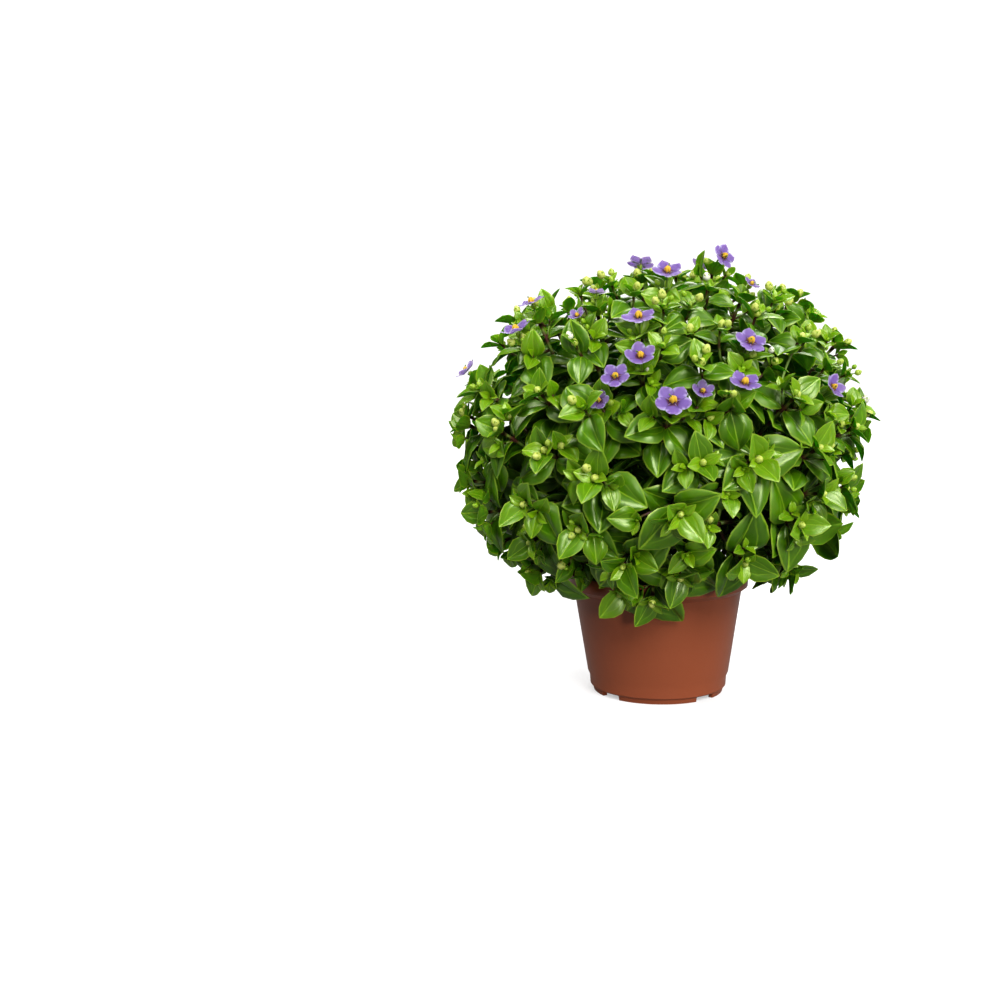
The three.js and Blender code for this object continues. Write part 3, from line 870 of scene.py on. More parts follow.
def make_knotted_tube(bm, places, knots, radius, thin, sides=6):
    """A tube that thins to a share of its radius, and swells and turns maroon at its knots."""
    radii = []
    ripeness = []
    for step, place in enumerate(places):
        near = min([(place - knot).length for knot in knots], default=1)
        taper = 1 + (thin - 1) * step / (len(places) - 1)
        radii.append(radius * taper * (1 + 0.35 * max(0, 1 - near / swell_reach)))
        ripeness.append(max(0.0, 1 - near / maroon_reach))
    make_tube(bm, places, radii, ripeness, sides)


def make_twig(bm, twig):
    route = twig_route(twig, 14)
    inner, outer = node_place(twig, 1), node_place(twig, 0)
    places = route + [inner, twig.tip.lerp(inner, 0.5), outer, twig.tip + twig.direction * 0.5 * millimetre]
    knots = [inner, outer] + [place for place, direction in spots_from_end(route, twig_nodes)]
    make_knotted_tube(bm, places, knots, twig_radius * 1.02, 0.75, 8)
    for bloom in twig.blooms:
        top = bloom.place - bloom.face * pedicel_radius
        foot = top - bloom.face * calyx_height
        places = route_between(twig.tip, twig.tip + twig.direction * 4 * millimetre, foot, 6) + [top]
        make_tube(bm, places, [pedicel_radius] * len(places), [0.35] * len(places))


for shoot in shoots:
    bm = bmesh.new()
    places = [shoot.root] + stem_route(shoot, 16) + [shoot.fork + shoot.facing * stem_radius]
    knots = [place for place, direction in spots_from_end(places, (0,) + stem_nodes)]
    make_knotted_tube(bm, places, knots, stem_radius * 1.05, 0.95, 8)
    for twig in shoot.twigs:
        make_twig(bm, twig)
    for twig in side_twigs:
        if twig.shoot is shoot:
            places = twig.route + [twig.tip + twig.direction * 0.6 * millimetre]
            knots = [twig.route[0], twig.tip, from_end(twig.route, 9.5 * millimetre)[0]]
            make_knotted_tube(bm, places, knots, 0.85 * millimetre, 0.8)
    for tuft in tufts:
        if tuft.shoot is shoot:
            places = [tuft.start.lerp(tuft.end, step / 4) for step in range(5)]
            make_knotted_tube(bm, places, [tuft.start, tuft.end], 0.55 * millimetre, 0.8)
    make_piece(bm, shoot.name.replace("shoot", "stems"), "stem")
print("stems made for", len(shoots), "shoots")

# %% [markdown]
# ## Buds
# The buds are small eggs with a pointed, slightly twisted tip, held by five green sepals. A sphere
# operator gives a closed body, and one formula on its height makes it an egg. The sepals are the leaf
# form again with very few faces, because there are hundreds of buds.

# %% Bud and sepals
five = 5


def sphere_form(name, columns, rows, shape):
    bm = bmesh.new()
    bmesh.ops.create_uvsphere(bm, u_segments=columns, v_segments=rows, radius=1)
    for vertex in bm.verts:
        vertex.co = shape(vertex.co)
    bm.verts.layers.float.new("young")
    bm.verts.layers.float.new("shade")
    return SimpleNamespace(mesh=mesh_from(bm, name))


def five_round(form):
    """Repeats a form five times round its Z axis."""
    bm = bmesh.new()
    for number in range(five):
        add_copy(bm, form, Matrix.Rotation(full_turn * number / five, 4, "Z"))
    bm.to_mesh(form.mesh)
    bm.free()
    return form


def bud_shape(point):
    height = (point.z + 1) / 2
    angle = math.atan2(point.y, point.x) + 0.5 * point.z
    rib = 1 + 0.06 * math.cos(five * angle)
    narrow = 1 - 0.42 * max(0, height - 0.35) ** 1.3
    return Vector((point.x * rib * narrow, point.y * rib * narrow, 1.06 * point.z + 0.14 * height ** 6))


def make_sepals():
    bm = flat_grid(2, [0, 0.35, 0.7, 1])
    for vertex in bm.verts:
        side = 2 * vertex.co.x
        share = vertex.co.y
        half = side * half_width(share) * 0.85
        bow = math.radians(48) - 1.15 * share
        reach = 0.25 + 0.95 * share * math.sin(max(0.15, bow + 0.6)) + 0.3 * share
        vertex.co = (half, reach, 1.7 * share - 0.25 * abs(half) - 0.95)
    return five_round(finish_form(bm, "sepals", 0.09))


def point_along(place, direction, roll, size):
    """The matrix that stands a form on a place, with its Z axis along a direction."""
    across = sideways(direction, roll)
    turn = Matrix((across, direction.cross(across), direction)).transposed().to_4x4()
    return Matrix.Translation(place) @ turn @ Matrix.Scale(size, 4)


bud_form = sphere_form("bud", 10, 7, bud_shape)
sepal_form = make_sepals()
print("a bud has", len(bud_form.mesh.polygons) + len(sepal_form.mesh.polygons), "faces")

# %% [markdown]
# ## Bud clusters
# The frame has one bud on every twig without a flower. Here smaller ones join it on thin stalks, more of
# them high in the crown, where the plant is about to bloom. Buds, sepals and stalks have a finish each, so
# they become three pieces, each with all its copies in one mesh.

# %% Make the buds
cluster_size = 3
stalk_radius = 0.38 * millimetre
dry_chance = 0.04
bud_keys = 20000
buds = []
stalks = []


def add_bud(foot, direction, growth, key, dry=0.0):
    """A bud on its foot, from a small green one at growth 0 to a pale one about to open at 1."""
    radius = (1.3 + 1.5 * growth) * millimetre
    matrix = point_along(foot + direction * 0.85 * radius, direction, 6 * draw(key, 9), radius)
    buds.append(SimpleNamespace(matrix=matrix, growth=growth, key=key, dry=dry))


def bud_cluster(twig, key, chance):
    """A few buds on thin stalks round a twig's tip, no two of the same age."""
    for number in range(cluster_size):
        if draw(key, number, 2) > chance:
            continue
        aside = sideways(twig.direction, twig.roll + 0.8 + number * 2.1)
        direction = (twig.direction + aside * (0.6 + 0.5 * draw(key, number, 3))).normalized()
        start = twig.tip - twig.direction * 0.4 * millimetre
        end = start + direction * (4.5 + 4 * draw(key, number, 4)) * millimetre
        growth = 0.1 + 0.9 * draw(key, number, 5)
        dry = 1.0 if draw(key, number, 6) > 1 - dry_chance else 0.0
        direction = (direction + twig.direction * 0.7).normalized()
        add_bud(end, direction, growth, key + number + 1, dry)
        stalks.append([start, start.lerp(end, 0.5), end])


for twig in twigs:
    key = bud_keys + 20 * (twig.shoot.index * twig_count + twig.number)
    high = ripe_share(twig.tip.z)
    if not twig.blooms:
        add_bud(twig.tip, twig.direction, 0.45 + 0.3 * high + 0.25 * draw(key, 5), key)
    bud_cluster(twig, key, 0.10 + 0.55 * high)
for twig in side_twigs:
    high = ripe_share(twig.tip.z)
    add_bud(twig.tip, twig.direction, (0.3 + 0.6 * high) * draw(twig.key, 6), twig.key)
    bud_cluster(twig, twig.key, 0.08 + 0.34 * high)
for tuft in tufts:
    if draw(tuft.key, 71) < 0.25 + 0.3 * ripe_share(tuft.end.z):
        add_bud(tuft.end, tuft.direction, 0.8 * draw(tuft.key, 72), tuft.key)

sepals = [(sepal_form, bud.matrix, 1.0, draw(bud.key, 8)) for bud in buds]
for bloom in blooms:
    foot = bloom.place - bloom.face * 1.9 * millimetre
    size = (1.5 + 0.6 * bloom.size) * millimetre
    matrix = point_along(foot, bloom.face, full_turn * draw(bloom.index, 5), size)
    sepals.append((sepal_form, matrix, 0.8, draw(bloom.index, 8)))
make_copies("buds", "bud", shoot_names, [(bud_form, bud.matrix, bud.dry, bud.growth) for bud in buds])
make_copies("sepals", "leaf", shoot_names, sepals)
bm = bmesh.new()
for places in stalks:
    make_tube(bm, places, [stalk_radius] * 3, [0.15] * 3, 5)
make_piece(bm, "bud_stalks", "stem", shoot_names)
print(len(buds), "buds, of which", sum(bud.dry > 0 for bud in buds), "are dry")

# %% [markdown]
# ## Flowers
# Five broad petals open flat round a short yellow cone of five anthers. A petal is the same kind of grid
# as a leaf, drawn to another outline, and each overlaps the next a little, as a pinwheel does. The anthers
# are stretched spheres that lean together, with the green style curving out between them.

# %% Petals and anthers
bloom_radius = 9.6
bloom_cup = 2.2
petal_rows = [0, 0.14, 0.32, 0.5, 0.66, 0.79, 0.89, 0.96, 1]
petal_thickness = 0.3
petal_kinds = (0, 1, 2, 0, 2, 3)


def petal_half_width(share):
    """A petal is broad and round, with a narrow foot, in millimetres."""
    arch = max(0, math.sin(math.pi * min(1, 0.05 + 0.95 * share) ** 1.45))
    return 4.25 * arch ** 0.56 + 0.35 * (1 - share)


def make_petals(name, droop, wave):
    bm = flat_grid(4, petal_rows)
    for vertex in bm.verts:
        side = 2 * vertex.co.x
        share = vertex.co.y
        reach = 0.7 + (bloom_radius - 0.5) * share
        half = side * petal_half_width(share)
        if share == 1:
            half = side * 0.75
            reach -= 0.12 * abs(side)
        cup = bloom_cup * (1 - droop) * (reach / bloom_radius) ** 2
        lift = cup + 0.45 + 0.28 * side * share + wave * math.sin(5 * share) * side * side
        vertex.co = (half, reach, lift - 0.5 * side * side * share)
    return five_round(finish_form(bm, name, petal_thickness))


def anther_shape(point):
    height = (point.z + 1) / 2
    thick = 0.7 + 0.27 * math.sin(math.pi * height)
    return Vector((point.x * thick, point.y * thick + 1.5 - 1.0 * height ** 2, 0.4 + 4.2 * height))


anther_form = sphere_form("anther", 8, 6, anther_shape)
petal_forms = [
    make_petals(f"petals_{kind}", droop, wave)
    for kind, (droop, wave) in enumerate([(0.1, 0.25), (-0.6, -0.3), (-0.25, 0.2), (-1.1, -0.2)])
]

anthers = []
styles = bmesh.new()
for bloom, name in zip(blooms, bloom_names):
    index, place, face = bloom.index, bloom.place, bloom.face
    turn = full_turn * draw(index, 6)
    size = bloom.size * millimetre
    form = petal_forms[petal_kinds[index % len(petal_kinds)]]
    matrix = point_along(place, face, turn - quarter, size)
    make_copies(name.replace("bloom", "petals"), "petal", [name], [(form, matrix, 0.0, 0.0)])
    for number in range(five):
        spin = turn + full_turn * (number + 0.5 + 0.2 * draw(index, number, 2)) / five
        anthers.append((anther_form, point_along(place, face, spin, size), 0.0, 0.0))
    base = place + face * 0.6 * size
    aside = sideways(face, full_turn * draw(index, 33))
    end = base + face * 4.2 * size + aside * 2.6 * size
    places = route_between(base, base + face * 3.2 * size, end, 5)
    make_tube(styles, places, [0.3 * millimetre] * 5 + [0.55 * millimetre], [0] * 6)
make_copies("anthers", "anther", bloom_names, anthers)
make_piece(styles, "styles", "stem", bloom_names)
print(len(blooms), "flowers made")

# %% [markdown]
# ## The pot
# A moulded pot is a turned shape, so its outline is spun once round. The feet are what the gaps leave:
# we take the foot's faces out of four short sectors, bridge the two open edges over the gap, and fill the
# ends. A bevel then rounds every edge a little, because no moulded edge is sharp.

# %% Pot
pot_steps = 108
pot_outline = [
    (0, 3.6), (40.2, 3.6), (40.2, 3.4), (40.2, 0), (43, 0), (43.6, 2.8), (44.3, 3.4), (45.2, 4.2),
    (45.6, 10.2), (46.9, 13.2), (55.5, 68), (59.6, 71), (60, 80), (58.2, 80), (57.8, 72.5), (54.2, 69.5),
    (44.1, 5.6), (0, 5.6),
]
gap_roof = 3.4 * millimetre
gap_half_angle = 10
sharp_angle = math.radians(28)
edge_round = 0.35 * millimetre


def spun(outline, steps):
    """Spins an outline of radii and heights in mm, half a step on, so that sectors end between faces."""
    bm = bmesh.new()
    turn = Matrix.Rotation(math.pi / steps, 3, "Z")
    rim = [bm.verts.new(turn @ Vector((radius, 0, height)) * millimetre) for radius, height in outline]
    edges = [bm.edges.new(pair) for pair in zip(rim, rim[1:])]
    bmesh.ops.spin(
        bm, geom=rim + edges, cent=(0, 0, 0), axis=(0, 0, 1), angle=full_turn, steps=steps, use_merge=True,
    )
    bmesh.ops.remove_doubles(bm, verts=bm.verts, dist=1e-6)
    bmesh.ops.recalc_face_normals(bm, faces=bm.faces)
    return bm


def in_gap(point):
    angle = math.degrees(math.atan2(point.y, point.x)) % 90
    return abs(angle - 45) < gap_half_angle and point.z < gap_roof


bm = spun(pot_outline, pot_steps)
gone = [face for face in bm.faces if in_gap(face.calc_center_median())]
bmesh.ops.delete(bm, geom=gone, context="FACES")
for sector in range(4):
    middle = Matrix.Rotation(quarter * sector + quarter / 2, 3, "Z") @ Vector((1, 0, 0))
    near = [edge for edge in bm.edges if edge.is_boundary
            and (edge.verts[0].co + edge.verts[1].co).normalized().dot(middle) > 0.9]
    level = [edge for edge in near if all(abs(vertex.co.z - gap_roof) < 1e-6 for vertex in edge.verts)]
    bmesh.ops.bridge_loops(bm, edges=level)
bmesh.ops.holes_fill(bm, edges=[edge for edge in bm.edges if edge.is_boundary], sides=8)
bmesh.ops.recalc_face_normals(bm, faces=bm.faces)
sharp = [edge for edge in bm.edges if edge.calc_face_angle(0) > sharp_angle]
bmesh.ops.bevel(
    bm, geom=sharp, offset=edge_round, segments=2, profile=0.5, affect="EDGES", clamp_overlap=True,
    material=-1,
)
open_edges = sum(not edge.is_manifold for edge in bm.edges)
pot_piece = make_piece(bm, "moulded_pot", "pot", ["pot"])
print("pot faces", len(pot_piece.data.polygons), "open edges", open_edges)

# %% [markdown]
# The drain holes cross the floor, which spinning can't do. A Boolean modifier cuts them with four short
# cylinders, and its result is kept as the pot's mesh, so that no cutter stays in the scene.

# %% Drain holes
drain_radius = 5 * millimetre
drain_circle = 22 * millimetre
floor_middle = 4.6 * millimetre
bm = bmesh.new()
for number in range(4):
    place = outward(quarter * number) * drain_circle + up * floor_middle
    bmesh.ops.create_cone(
        bm, cap_ends=True, segments=32, radius1=drain_radius, radius2=drain_radius,
        depth=8 * millimetre, matrix=Matrix.Translation(place),
    )
cutter = add_object("drain_cutter", mesh_from(bm, "drain_cutter"))
cut = pot_piece.modifiers.new("drains", "BOOLEAN")
cut.operation = "DIFFERENCE"
cut.object = cutter
bpy.context.view_layer.update()
shaped = pot_piece.evaluated_get(bpy.context.evaluated_depsgraph_get())
drained = bpy.data.meshes.new_from_object(shaped)
pot_piece.modifiers.clear()
pot_piece.data = drained
bpy.data.objects.remove(cutter)
print("pot faces with drains", len(drained.polygons))

# %% [markdown]
# ## Soil
# Potting soil is dark, loose and never flat. Its body is spun like the pot, its top is pushed up and down
# by a noise that depends only on the place, and small crumbs lie on it.

# %% Soil
soil_outline = [(0, 5.9), (43.8, 5.9), (53.9, 69.7), (49, 70.6), (43, 71.2), (36, 71.9), (29, 72.4),
                (22, 72.7), (14, 72.9), (7, 73), (0, 73)]
crumb_count = 420
crumb_spread = 51 * millimetre
bm = spun(soil_outline, 72)
for vertex in bm.verts:
    if vertex.co.z > 70 * millimetre:
        rough = noise.fractal(vertex.co * 160, 0.8, 2.1, 4)
        vertex.co.z += 1.1 * millimetre * rough
make_piece(bm, "potting_soil", "soil", ["soil"])

bm = bmesh.new()
for number in range(crumb_count):
    reach = crumb_spread * math.sqrt(draw(number, 81))
    place = outward(full_turn * draw(number, 82)) * reach
    place.z = (73.2 - 3.2 * (reach / (53 * millimetre)) ** 2) * millimetre
    size = (0.5 + 1.3 * draw(number, 83) ** 2) * millimetre
    squash = Matrix.Diagonal((1, 0.6 + 0.4 * draw(number, 84), 0.45 + 0.3 * draw(number, 85), 1))
    turn = Matrix.Rotation(6 * draw(number, 86), 4, "Z")
    bmesh.ops.create_icosphere(
        bm, subdivisions=1, radius=size, matrix=Matrix.Translation(place) @ turn @ squash,
    )
crumbs = make_piece(bm, "soil_crumbs", "soil", ["soil"], smooth=False)
print("crumbs", len(crumbs.data.polygons), "faces")

# %% [markdown]
# ## Node helpers for finishes
# A material is a tree of nodes. A few small helpers keep the trees short to read: one adds a node and sets
# or links its inputs, others are a Math node in one word, and dress ends every finish in the same way.

# %% Helpers for materials


def put_in(tree, socket, value):
    """Links a socket to the input, or sets the input to a value."""
    if isinstance(value, bpy.types.NodeSocket):
        tree.links.new(value, socket)
    else:
        socket.default_value = value


def add_node(tree, kind, inputs=None, **settings):
    made = tree.nodes.new("ShaderNode" + kind)
    for name, value in settings.items():
        setattr(made, name, value)
    for key, value in (inputs or {}).items():
        put_in(tree, made.inputs[key], value)
    return made


def calc(tree, operation, first, second=0.0):
    return add_node(tree, "Math", {0: first, 1: second}, operation=operation).outputs[0]


def times(tree, first, second):
    return calc(tree, "MULTIPLY", first, second)


def ramp(tree, mask, low, rise):
    """A value that rises from low by a share of the mask."""
    return calc(tree, "ADD", low, times(tree, mask, rise))


def fade(tree, value, start, end, low=0.0, high=1.0):
    """Maps a value smoothly from start..end to low..high."""
    made = add_node(
        tree, "MapRange", interpolation_type="SMOOTHSTEP",
        inputs={"Value": value, "From Min": start, "From Max": end, "To Min": low, "To Max": high},
    )
    return made.outputs[0]


def blend(tree, factor, first, second):
    """Mixes two colours, each a socket or a tuple of red, green and blue."""
    made = add_node(tree, "Mix", {"Factor": factor}, data_type="RGBA")
    for socket, value in ((made.inputs[6], first), (made.inputs[7], second)):
        put_in(tree, socket, (*value, 1) if isinstance(value, tuple) else value)
    return made.outputs[2]


def new_group(name, inputs, outputs):
    group = bpy.data.node_groups.new(name, "ShaderNodeTree")
    for socket, kind in inputs:
        group.interface.new_socket(socket, in_out="INPUT", socket_type="NodeSocket" + kind)
    for socket in outputs:
        group.interface.new_socket(socket, in_out="OUTPUT", socket_type="NodeSocketFloat")
    return group, group.nodes.new("NodeGroupInput").outputs, group.nodes.new("NodeGroupOutput").inputs


def use_group(tree, group, inputs):
    made = tree.nodes.new("ShaderNodeGroup")
    made.node_tree = group
    for key, value in inputs.items():
        put_in(tree, made.inputs[key], value)
    return made.outputs


def new_material(name):
    material = bpy.data.materials.new(name)
    material.use_nodes = True
    tree = material.node_tree
    return material, tree, tree.nodes["Principled BSDF"]


def attribute(tree, name):
    return add_node(tree, "Attribute", attribute_name=name).outputs["Fac"]


def dress(tree, shader, colour, roughness, relief, strength, depth):
    """Links a colour and a roughness to the shader, and a relief through a Bump node."""
    tree.links.new(colour, shader.inputs["Base Color"])
    tree.links.new(roughness, shader.inputs["Roughness"])
    bump = add_node(tree, "Bump", {"Strength": strength, "Distance": depth, "Height": relief})
    tree.links.new(bump.outputs["Normal"], shader.inputs["Normal"])


def let_light_through(shader, share, reach):
    """Lets light spread through a thin piece, so that its shaded side glows a little."""
    shader.inputs["Subsurface Weight"].default_value = share
    shader.inputs["Subsurface Radius"].default_value = reach
    shader.inputs["Subsurface Scale"].default_value = 0.0015


finishes = {}
print("helpers ready")

# %% [markdown]
# ## Nerves
# A node group is a tree that others can hold, with named inputs and outputs. This one draws the midrib, two
# side nerves and the light margin from a leaf's UV map: distances are multiplied by the leaf's width there,
# so that the lines keep their thickness. Relief is the height of a blade that sinks along its nerves.

# %% Nerves group
nerves, given, put = new_group("nerves", [("Map", "Vector"), ("Line Width", "Float")],
                               ["Nerve", "Margin", "Relief"])
across, along = add_node(nerves, "SeparateXYZ", {0: given["Map"]}).outputs[:2]
aside = calc(nerves, "ABSOLUTE", calc(nerves, "SUBTRACT", times(nerves, across, 2.0), 1.0))
width = calc(nerves, "SINE", times(nerves, calc(nerves, "POWER", along, 0.7), math.pi))


def in_lines(distance):
    """A share of the leaf's width as a number of line widths."""
    return calc(nerves, "DIVIDE", times(nerves, distance, width), given["Line Width"])


from_middle = in_lines(aside)
arch = calc(nerves, "SINE", times(nerves, calc(nerves, "POWER", along, 0.5), math.pi))
from_side = in_lines(calc(nerves, "ABSOLUTE", calc(nerves, "SUBTRACT", aside, times(nerves, arch, 0.52))))
from_rim = in_lines(calc(nerves, "SUBTRACT", 1.0, aside))
middle_line = fade(nerves, from_middle, 0.35, 1.0, 1, 0)
side_line = times(nerves, fade(nerves, from_side, 0.3, 1.0, 1, 0), fade(nerves, along, 0.45, 0.9, 0.5, 0.08))
side_valley = times(nerves, fade(nerves, from_side, 0.0, 3.5, 1, 0), 0.3)
valley = calc(nerves, "MAXIMUM", side_valley, fade(nerves, from_middle, 0.0, 4.0, 1, 0))
nerves.links.new(calc(nerves, "MAXIMUM", middle_line, side_line), put["Nerve"])
nerves.links.new(fade(nerves, from_rim, 0.8, 2.1, 1, 0), put["Margin"])
nerves.links.new(calc(nerves, "SUBTRACT", 1.0, valley), put["Relief"])
print("group", nerves.name, "has", len(nerves.nodes), "nodes")

# %% [markdown]
# ## Mottle
# No grown or moulded surface has one even colour. Every finish uses this group, which gives a slow and a
# fine variation, from two noises that read the place on the object and not the picture.

# %% Mottle group
mottle, given, put = new_group("mottle", [("Slow Scale", "Float"), ("Fine Scale", "Float")],
                               ["Slow", "Fine"])
place = add_node(mottle, "TexCoord").outputs["Object"]
for name, detail in (("Slow", 3.0), ("Fine", 2.0)):
    inputs = {"Vector": place, "Scale": given[name + " Scale"], "Detail": detail}
    patches = add_node(mottle, "TexNoise", inputs)
    mottle.links.new(patches.outputs["Fac"], put[name])
print("group", mottle.name, "has", len(mottle.nodes), "nodes")

# %% [markdown]
# ## Leaf finish
# A leaf is darker and glossy above, paler and dull below, lime green while young, with yellow-green nerves
# and margin. Its bump comes from the same nerves, which lie in shallow valleys.

# %% Leaf material
finishes["leaf"], tree, shader = new_material("leaf_gloss")
uv = add_node(tree, "UVMap", uv_map="UVMap").outputs["UV"]
veins = use_group(tree, nerves, {"Map": uv, "Line Width": 0.045})
patches = use_group(tree, mottle, {"Slow Scale": 45.0, "Fine Scale": 900.0})
young = attribute(tree, "young")
shade = attribute(tree, "shade")
under = attribute(tree, "under")
green = blend(tree, shade, (0.028, 0.086, 0.0005), (0.080, 0.200, 0.0005))
green = blend(tree, times(tree, patches["Slow"], 0.4), green, (0.085, 0.210, 0.0005))
green = blend(tree, fade(tree, young, 0.1, 1.0, 0, 0.9), green, (0.200, 0.365, 0.004))
green = blend(tree, times(tree, veins["Nerve"], 0.75), green, (0.280, 0.460, 0.030))
green = blend(tree, times(tree, veins["Margin"], 0.7), green, (0.300, 0.480, 0.030))
green = blend(tree, times(tree, under, 0.6), green, (0.115, 0.240, 0.008))
gloss = ramp(tree, under, ramp(tree, patches["Slow"], 0.25, 0.18), 0.3)
relief = ramp(tree, patches["Fine"], veins["Relief"], 0.12)
dress(tree, shader, green, gloss, relief, 0.35, 0.0005)
let_light_through(shader, 0.3, (0.4, 1.0, 0.06))
shader.inputs["Specular IOR Level"].default_value = 0.76
shader.inputs["Specular Tint"].default_value = (0.92, 1.0, 0.66, 1)
print("leaf material ready")

# %% [markdown]
# ## Stem finish
# Stems run from green to maroon by the number stored on each ring. A little of the fine mottle is added
# to that number, so that the maroon ends in specks.

# %% Stem material
finishes["stem"], tree, shader = new_material("stem_skin")
patches = use_group(tree, mottle, {"Slow Scale": 60.0, "Fine Scale": 700.0})
maroon = ramp(tree, patches["Fine"], attribute(tree, "ripe"), 0.25)
tone = blend(tree, patches["Slow"], (0.110, 0.210, 0.025), (0.200, 0.300, 0.050))
tone = blend(tree, fade(tree, maroon, 0.35, 0.95), tone, (0.075, 0.022, 0.014))
dress(tree, shader, tone, ramp(tree, patches["Fine"], 0.38, 0.2), patches["Fine"], 0.4, 0.0003)
print("stem material ready")

# %% [markdown]
# ## Bud finish
# A bud is green while small and turns cream as it ripens, and a dry one is nearly white. The leaf's two
# attributes serve again: shade holds how far the bud has grown, and young says whether it is dry.

# %% Bud material
finishes["bud"], tree, shader = new_material("bud_skin")
patches = use_group(tree, mottle, {"Slow Scale": 250.0, "Fine Scale": 900.0})
growth = fade(tree, attribute(tree, "shade"), 0.15, 0.75)
tone = blend(tree, growth, (0.220, 0.400, 0.008), (0.530, 0.575, 0.150))
tone = blend(tree, times(tree, patches["Slow"], 0.35), tone, (0.320, 0.480, 0.020))
tone = blend(tree, attribute(tree, "young"), tone, (0.720, 0.710, 0.600))
dress(tree, shader, tone, ramp(tree, patches["Fine"], 0.35, 0.2), patches["Slow"], 0.35, 0.0003)
let_light_through(shader, 0.3, (1.0, 0.9, 0.3))
print("bud material ready")

# %% [markdown]
# ## Petal finish
# The petals are violet, with a maroon ring round the anthers, a deeper middle and a paler edge. Their back
# is paler, partly by its own colour and partly by painted light that shines through the thin petal. Their
# fine streaks are a noise on the UV map, stretched along the petal by a Mapping node.

# %% Petal material
finishes["petal"], tree, shader = new_material("petal_velvet")
uv = add_node(tree, "UVMap", uv_map="UVMap").outputs["UV"]
patches = use_group(tree, mottle, {"Slow Scale": 120.0, "Fine Scale": 1500.0})
stretched = add_node(tree, "Mapping", {"Vector": uv, "Scale": (14.0, 1.2, 1.0)}).outputs[0]
streaks = add_node(tree, "TexNoise", {"Vector": stretched, "Scale": 1.6, "Detail": 3.0}).outputs["Fac"]
along = add_node(tree, "SeparateXYZ", {0: uv}).outputs[1]
tone = blend(tree, streaks, (0.132, 0.070, 0.290), (0.190, 0.112, 0.350))
tone = blend(tree, fade(tree, along, 0.20, 0.60, 0.6, 0), tone, (0.090, 0.036, 0.240))
tone = blend(tree, fade(tree, along, 0.75, 1.0, 0, 0.45), tone, (0.310, 0.220, 0.480))
tone = blend(tree, fade(tree, along, 0.20, 0.34, 0.9, 0), tone, (0.080, 0.008, 0.030))
# The paler back is partly the petal's own colour and partly painted light shining through from the lit side.
tone = blend(tree, times(tree, attribute(tree, "under"), 0.85), tone, (0.480, 0.390, 0.860))
relief = ramp(tree, patches["Fine"], streaks, 0.3)
dress(tree, shader, tone, ramp(tree, streaks, 0.45, 0.25), relief, 0.35, 0.0002)
shader.inputs["Sheen Weight"].default_value = 0.15
let_light_through(shader, 0.7, (0.8, 0.6, 1.0))
print("petal material ready")

# %% [markdown]
# ## Plain finishes
# Anthers, pot and soil need no more than mottle: two tones, a roughness that varies a little, and a fine
# bump. So one function makes all three. The pot is red-brown plastic with a soft shine, and the soil is
# rough all through, in patches from nearly black to dark brown.

# %% Anther, pot and soil materials


def plain_finish(name, scales, dark, light, roughness, mask, strength, depth):
    """A finish of two tones, whose roughness rises from a base by a share of the named mask."""
    material, tree, shader = new_material(name)
    patches = use_group(tree, mottle, {"Slow Scale": scales[0], "Fine Scale": scales[1]})
    tone = blend(tree, patches["Slow"], dark, light)
    dress(tree, shader, tone, ramp(tree, patches[mask], *roughness), patches["Fine"], strength, depth)
    return material


finishes["anther"] = plain_finish(
    "anther_wax", (500.0, 1800.0), (0.640, 0.330, 0.012), (0.740, 0.540, 0.050), (0.4, 0.2), "Fine",
    0.3, 0.0002,
)
finishes["pot"] = plain_finish(
    "pot_plastic", (14.0, 1300.0), (0.242, 0.067, 0.028), (0.276, 0.078, 0.034), (0.28, 0.1), "Slow",
    0.12, 0.0002,
)
finishes["soil"] = plain_finish(
    "soil_crumb", (180.0, 900.0), (0.012, 0.007, 0.004), (0.070, 0.040, 0.022), (0.75, 0.2), "Fine",
    0.9, 0.001,
)
pot_shader = finishes["pot"].node_tree.nodes["Principled BSDF"]
pot_shader.inputs["Specular IOR Level"].default_value = 0.4
print(len(finishes), "finishes ready")

# %% Give each piece its material
for piece in bpy.data.objects:
    if "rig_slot" in piece.keys() and piece.type == "MESH":
        piece.data.materials.clear()
        piece.data.materials.append(finishes[piece["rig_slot"]])

# %% [markdown]
# ## The studio
# A white floor under a white world gives the even light of a cut-out photograph. Sun lamps with a wide
# angle light the whole floor alike, as huge soft boxes would: the key lamp comes from the front right, two
# more fill the sides, one from behind gives the leaves a bright edge, and a narrow low one draws the shine
# down the pot. The camera sees floor and world at full white, while the plant gets less light from both,
# which keeps the gaps between the leaves deep.

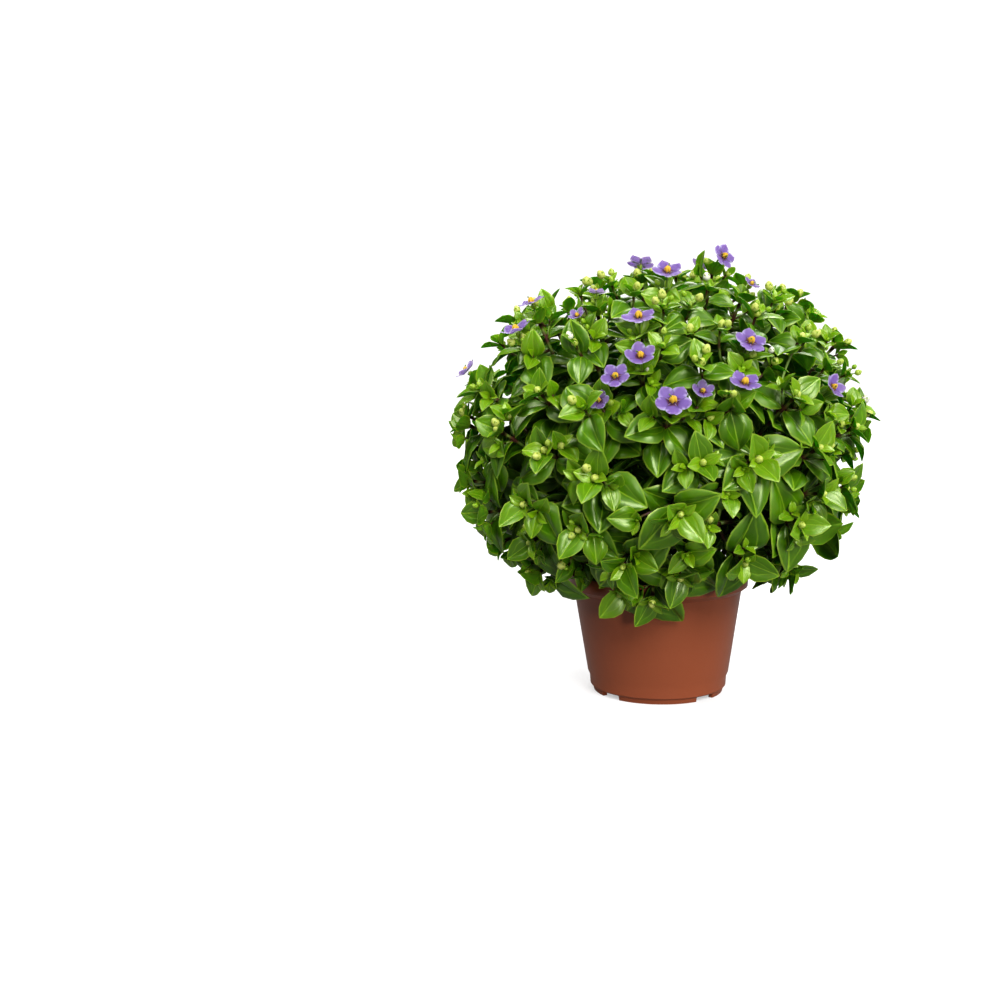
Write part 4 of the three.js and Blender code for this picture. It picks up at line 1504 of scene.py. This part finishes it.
# %% Floor, lamps and world
lamps = {
    "key_lamp": (28, 38, 28, 2.75),
    "left_lamp": (-76, 46, 36, 1.75),
    "right_lamp": (95, 28, 34, 0.9),
    "back_lamp": (172, 40, 38, 1.6),
    "strip_lamp": (18, 9, 8, 1.1),
}

bm = bmesh.new()
bmesh.ops.create_grid(bm, x_segments=1, y_segments=1, size=6)
floor = add_object("studio_floor", mesh_from(bm, "studio_floor"))
floor_material, tree, shader = new_material("studio_white")
seen = add_node(tree, "LightPath").outputs["Is Camera Ray"]
tree.links.new(blend(tree, seen, (0.22, 0.22, 0.22), (0.5, 0.5, 0.5)), shader.inputs["Base Color"])
shader.inputs["Emission Color"].default_value = (1, 1, 1, 1)
tree.links.new(times(tree, seen, 0.42), shader.inputs["Emission Strength"])
shader.inputs["Roughness"].default_value = 0.9
floor.data.materials.append(floor_material)


def add_lamp(name, bearing, height, width, strength):
    """A sun that shines from a bearing and a height, both in degrees, and looks as wide as given."""
    lamp = bpy.data.lights.new(name, "SUN")
    lamp.angle = math.radians(width)
    lamp.energy = strength
    lamp_object = add_object(name, lamp)
    from_there = outward(math.radians(bearing)) * math.cos(math.radians(height))
    from_there.z = math.sin(math.radians(height))
    lamp_object.matrix_world = (-from_there).to_track_quat("-Z", "Y").to_matrix().to_4x4()


for name, settings in lamps.items():
    add_lamp(name, *settings)
world = bpy.data.worlds.new("studio_world")
bpy.context.scene.world = world
world.use_nodes = True
tree = world.node_tree
seen = add_node(tree, "LightPath").outputs["Is Camera Ray"]
tree.links.new(fade(tree, seen, 0.0, 1.0, 0.05, 1.0), tree.nodes["Background"].inputs["Strength"])
tree.nodes["Background"].inputs["Color"].default_value = (1, 1, 1, 1)
bpy.context.scene.view_settings.view_transform = "Standard"
bpy.context.scene.view_settings.look = "Medium High Contrast"
print("studio ready with", len(lamps), "lamps")

# %% [markdown]
# The dressed plant has to stay as big as its solids. The last line brings the whole scene up to date.

# %% Bring the scene up to date
bpy.context.view_layer.update()
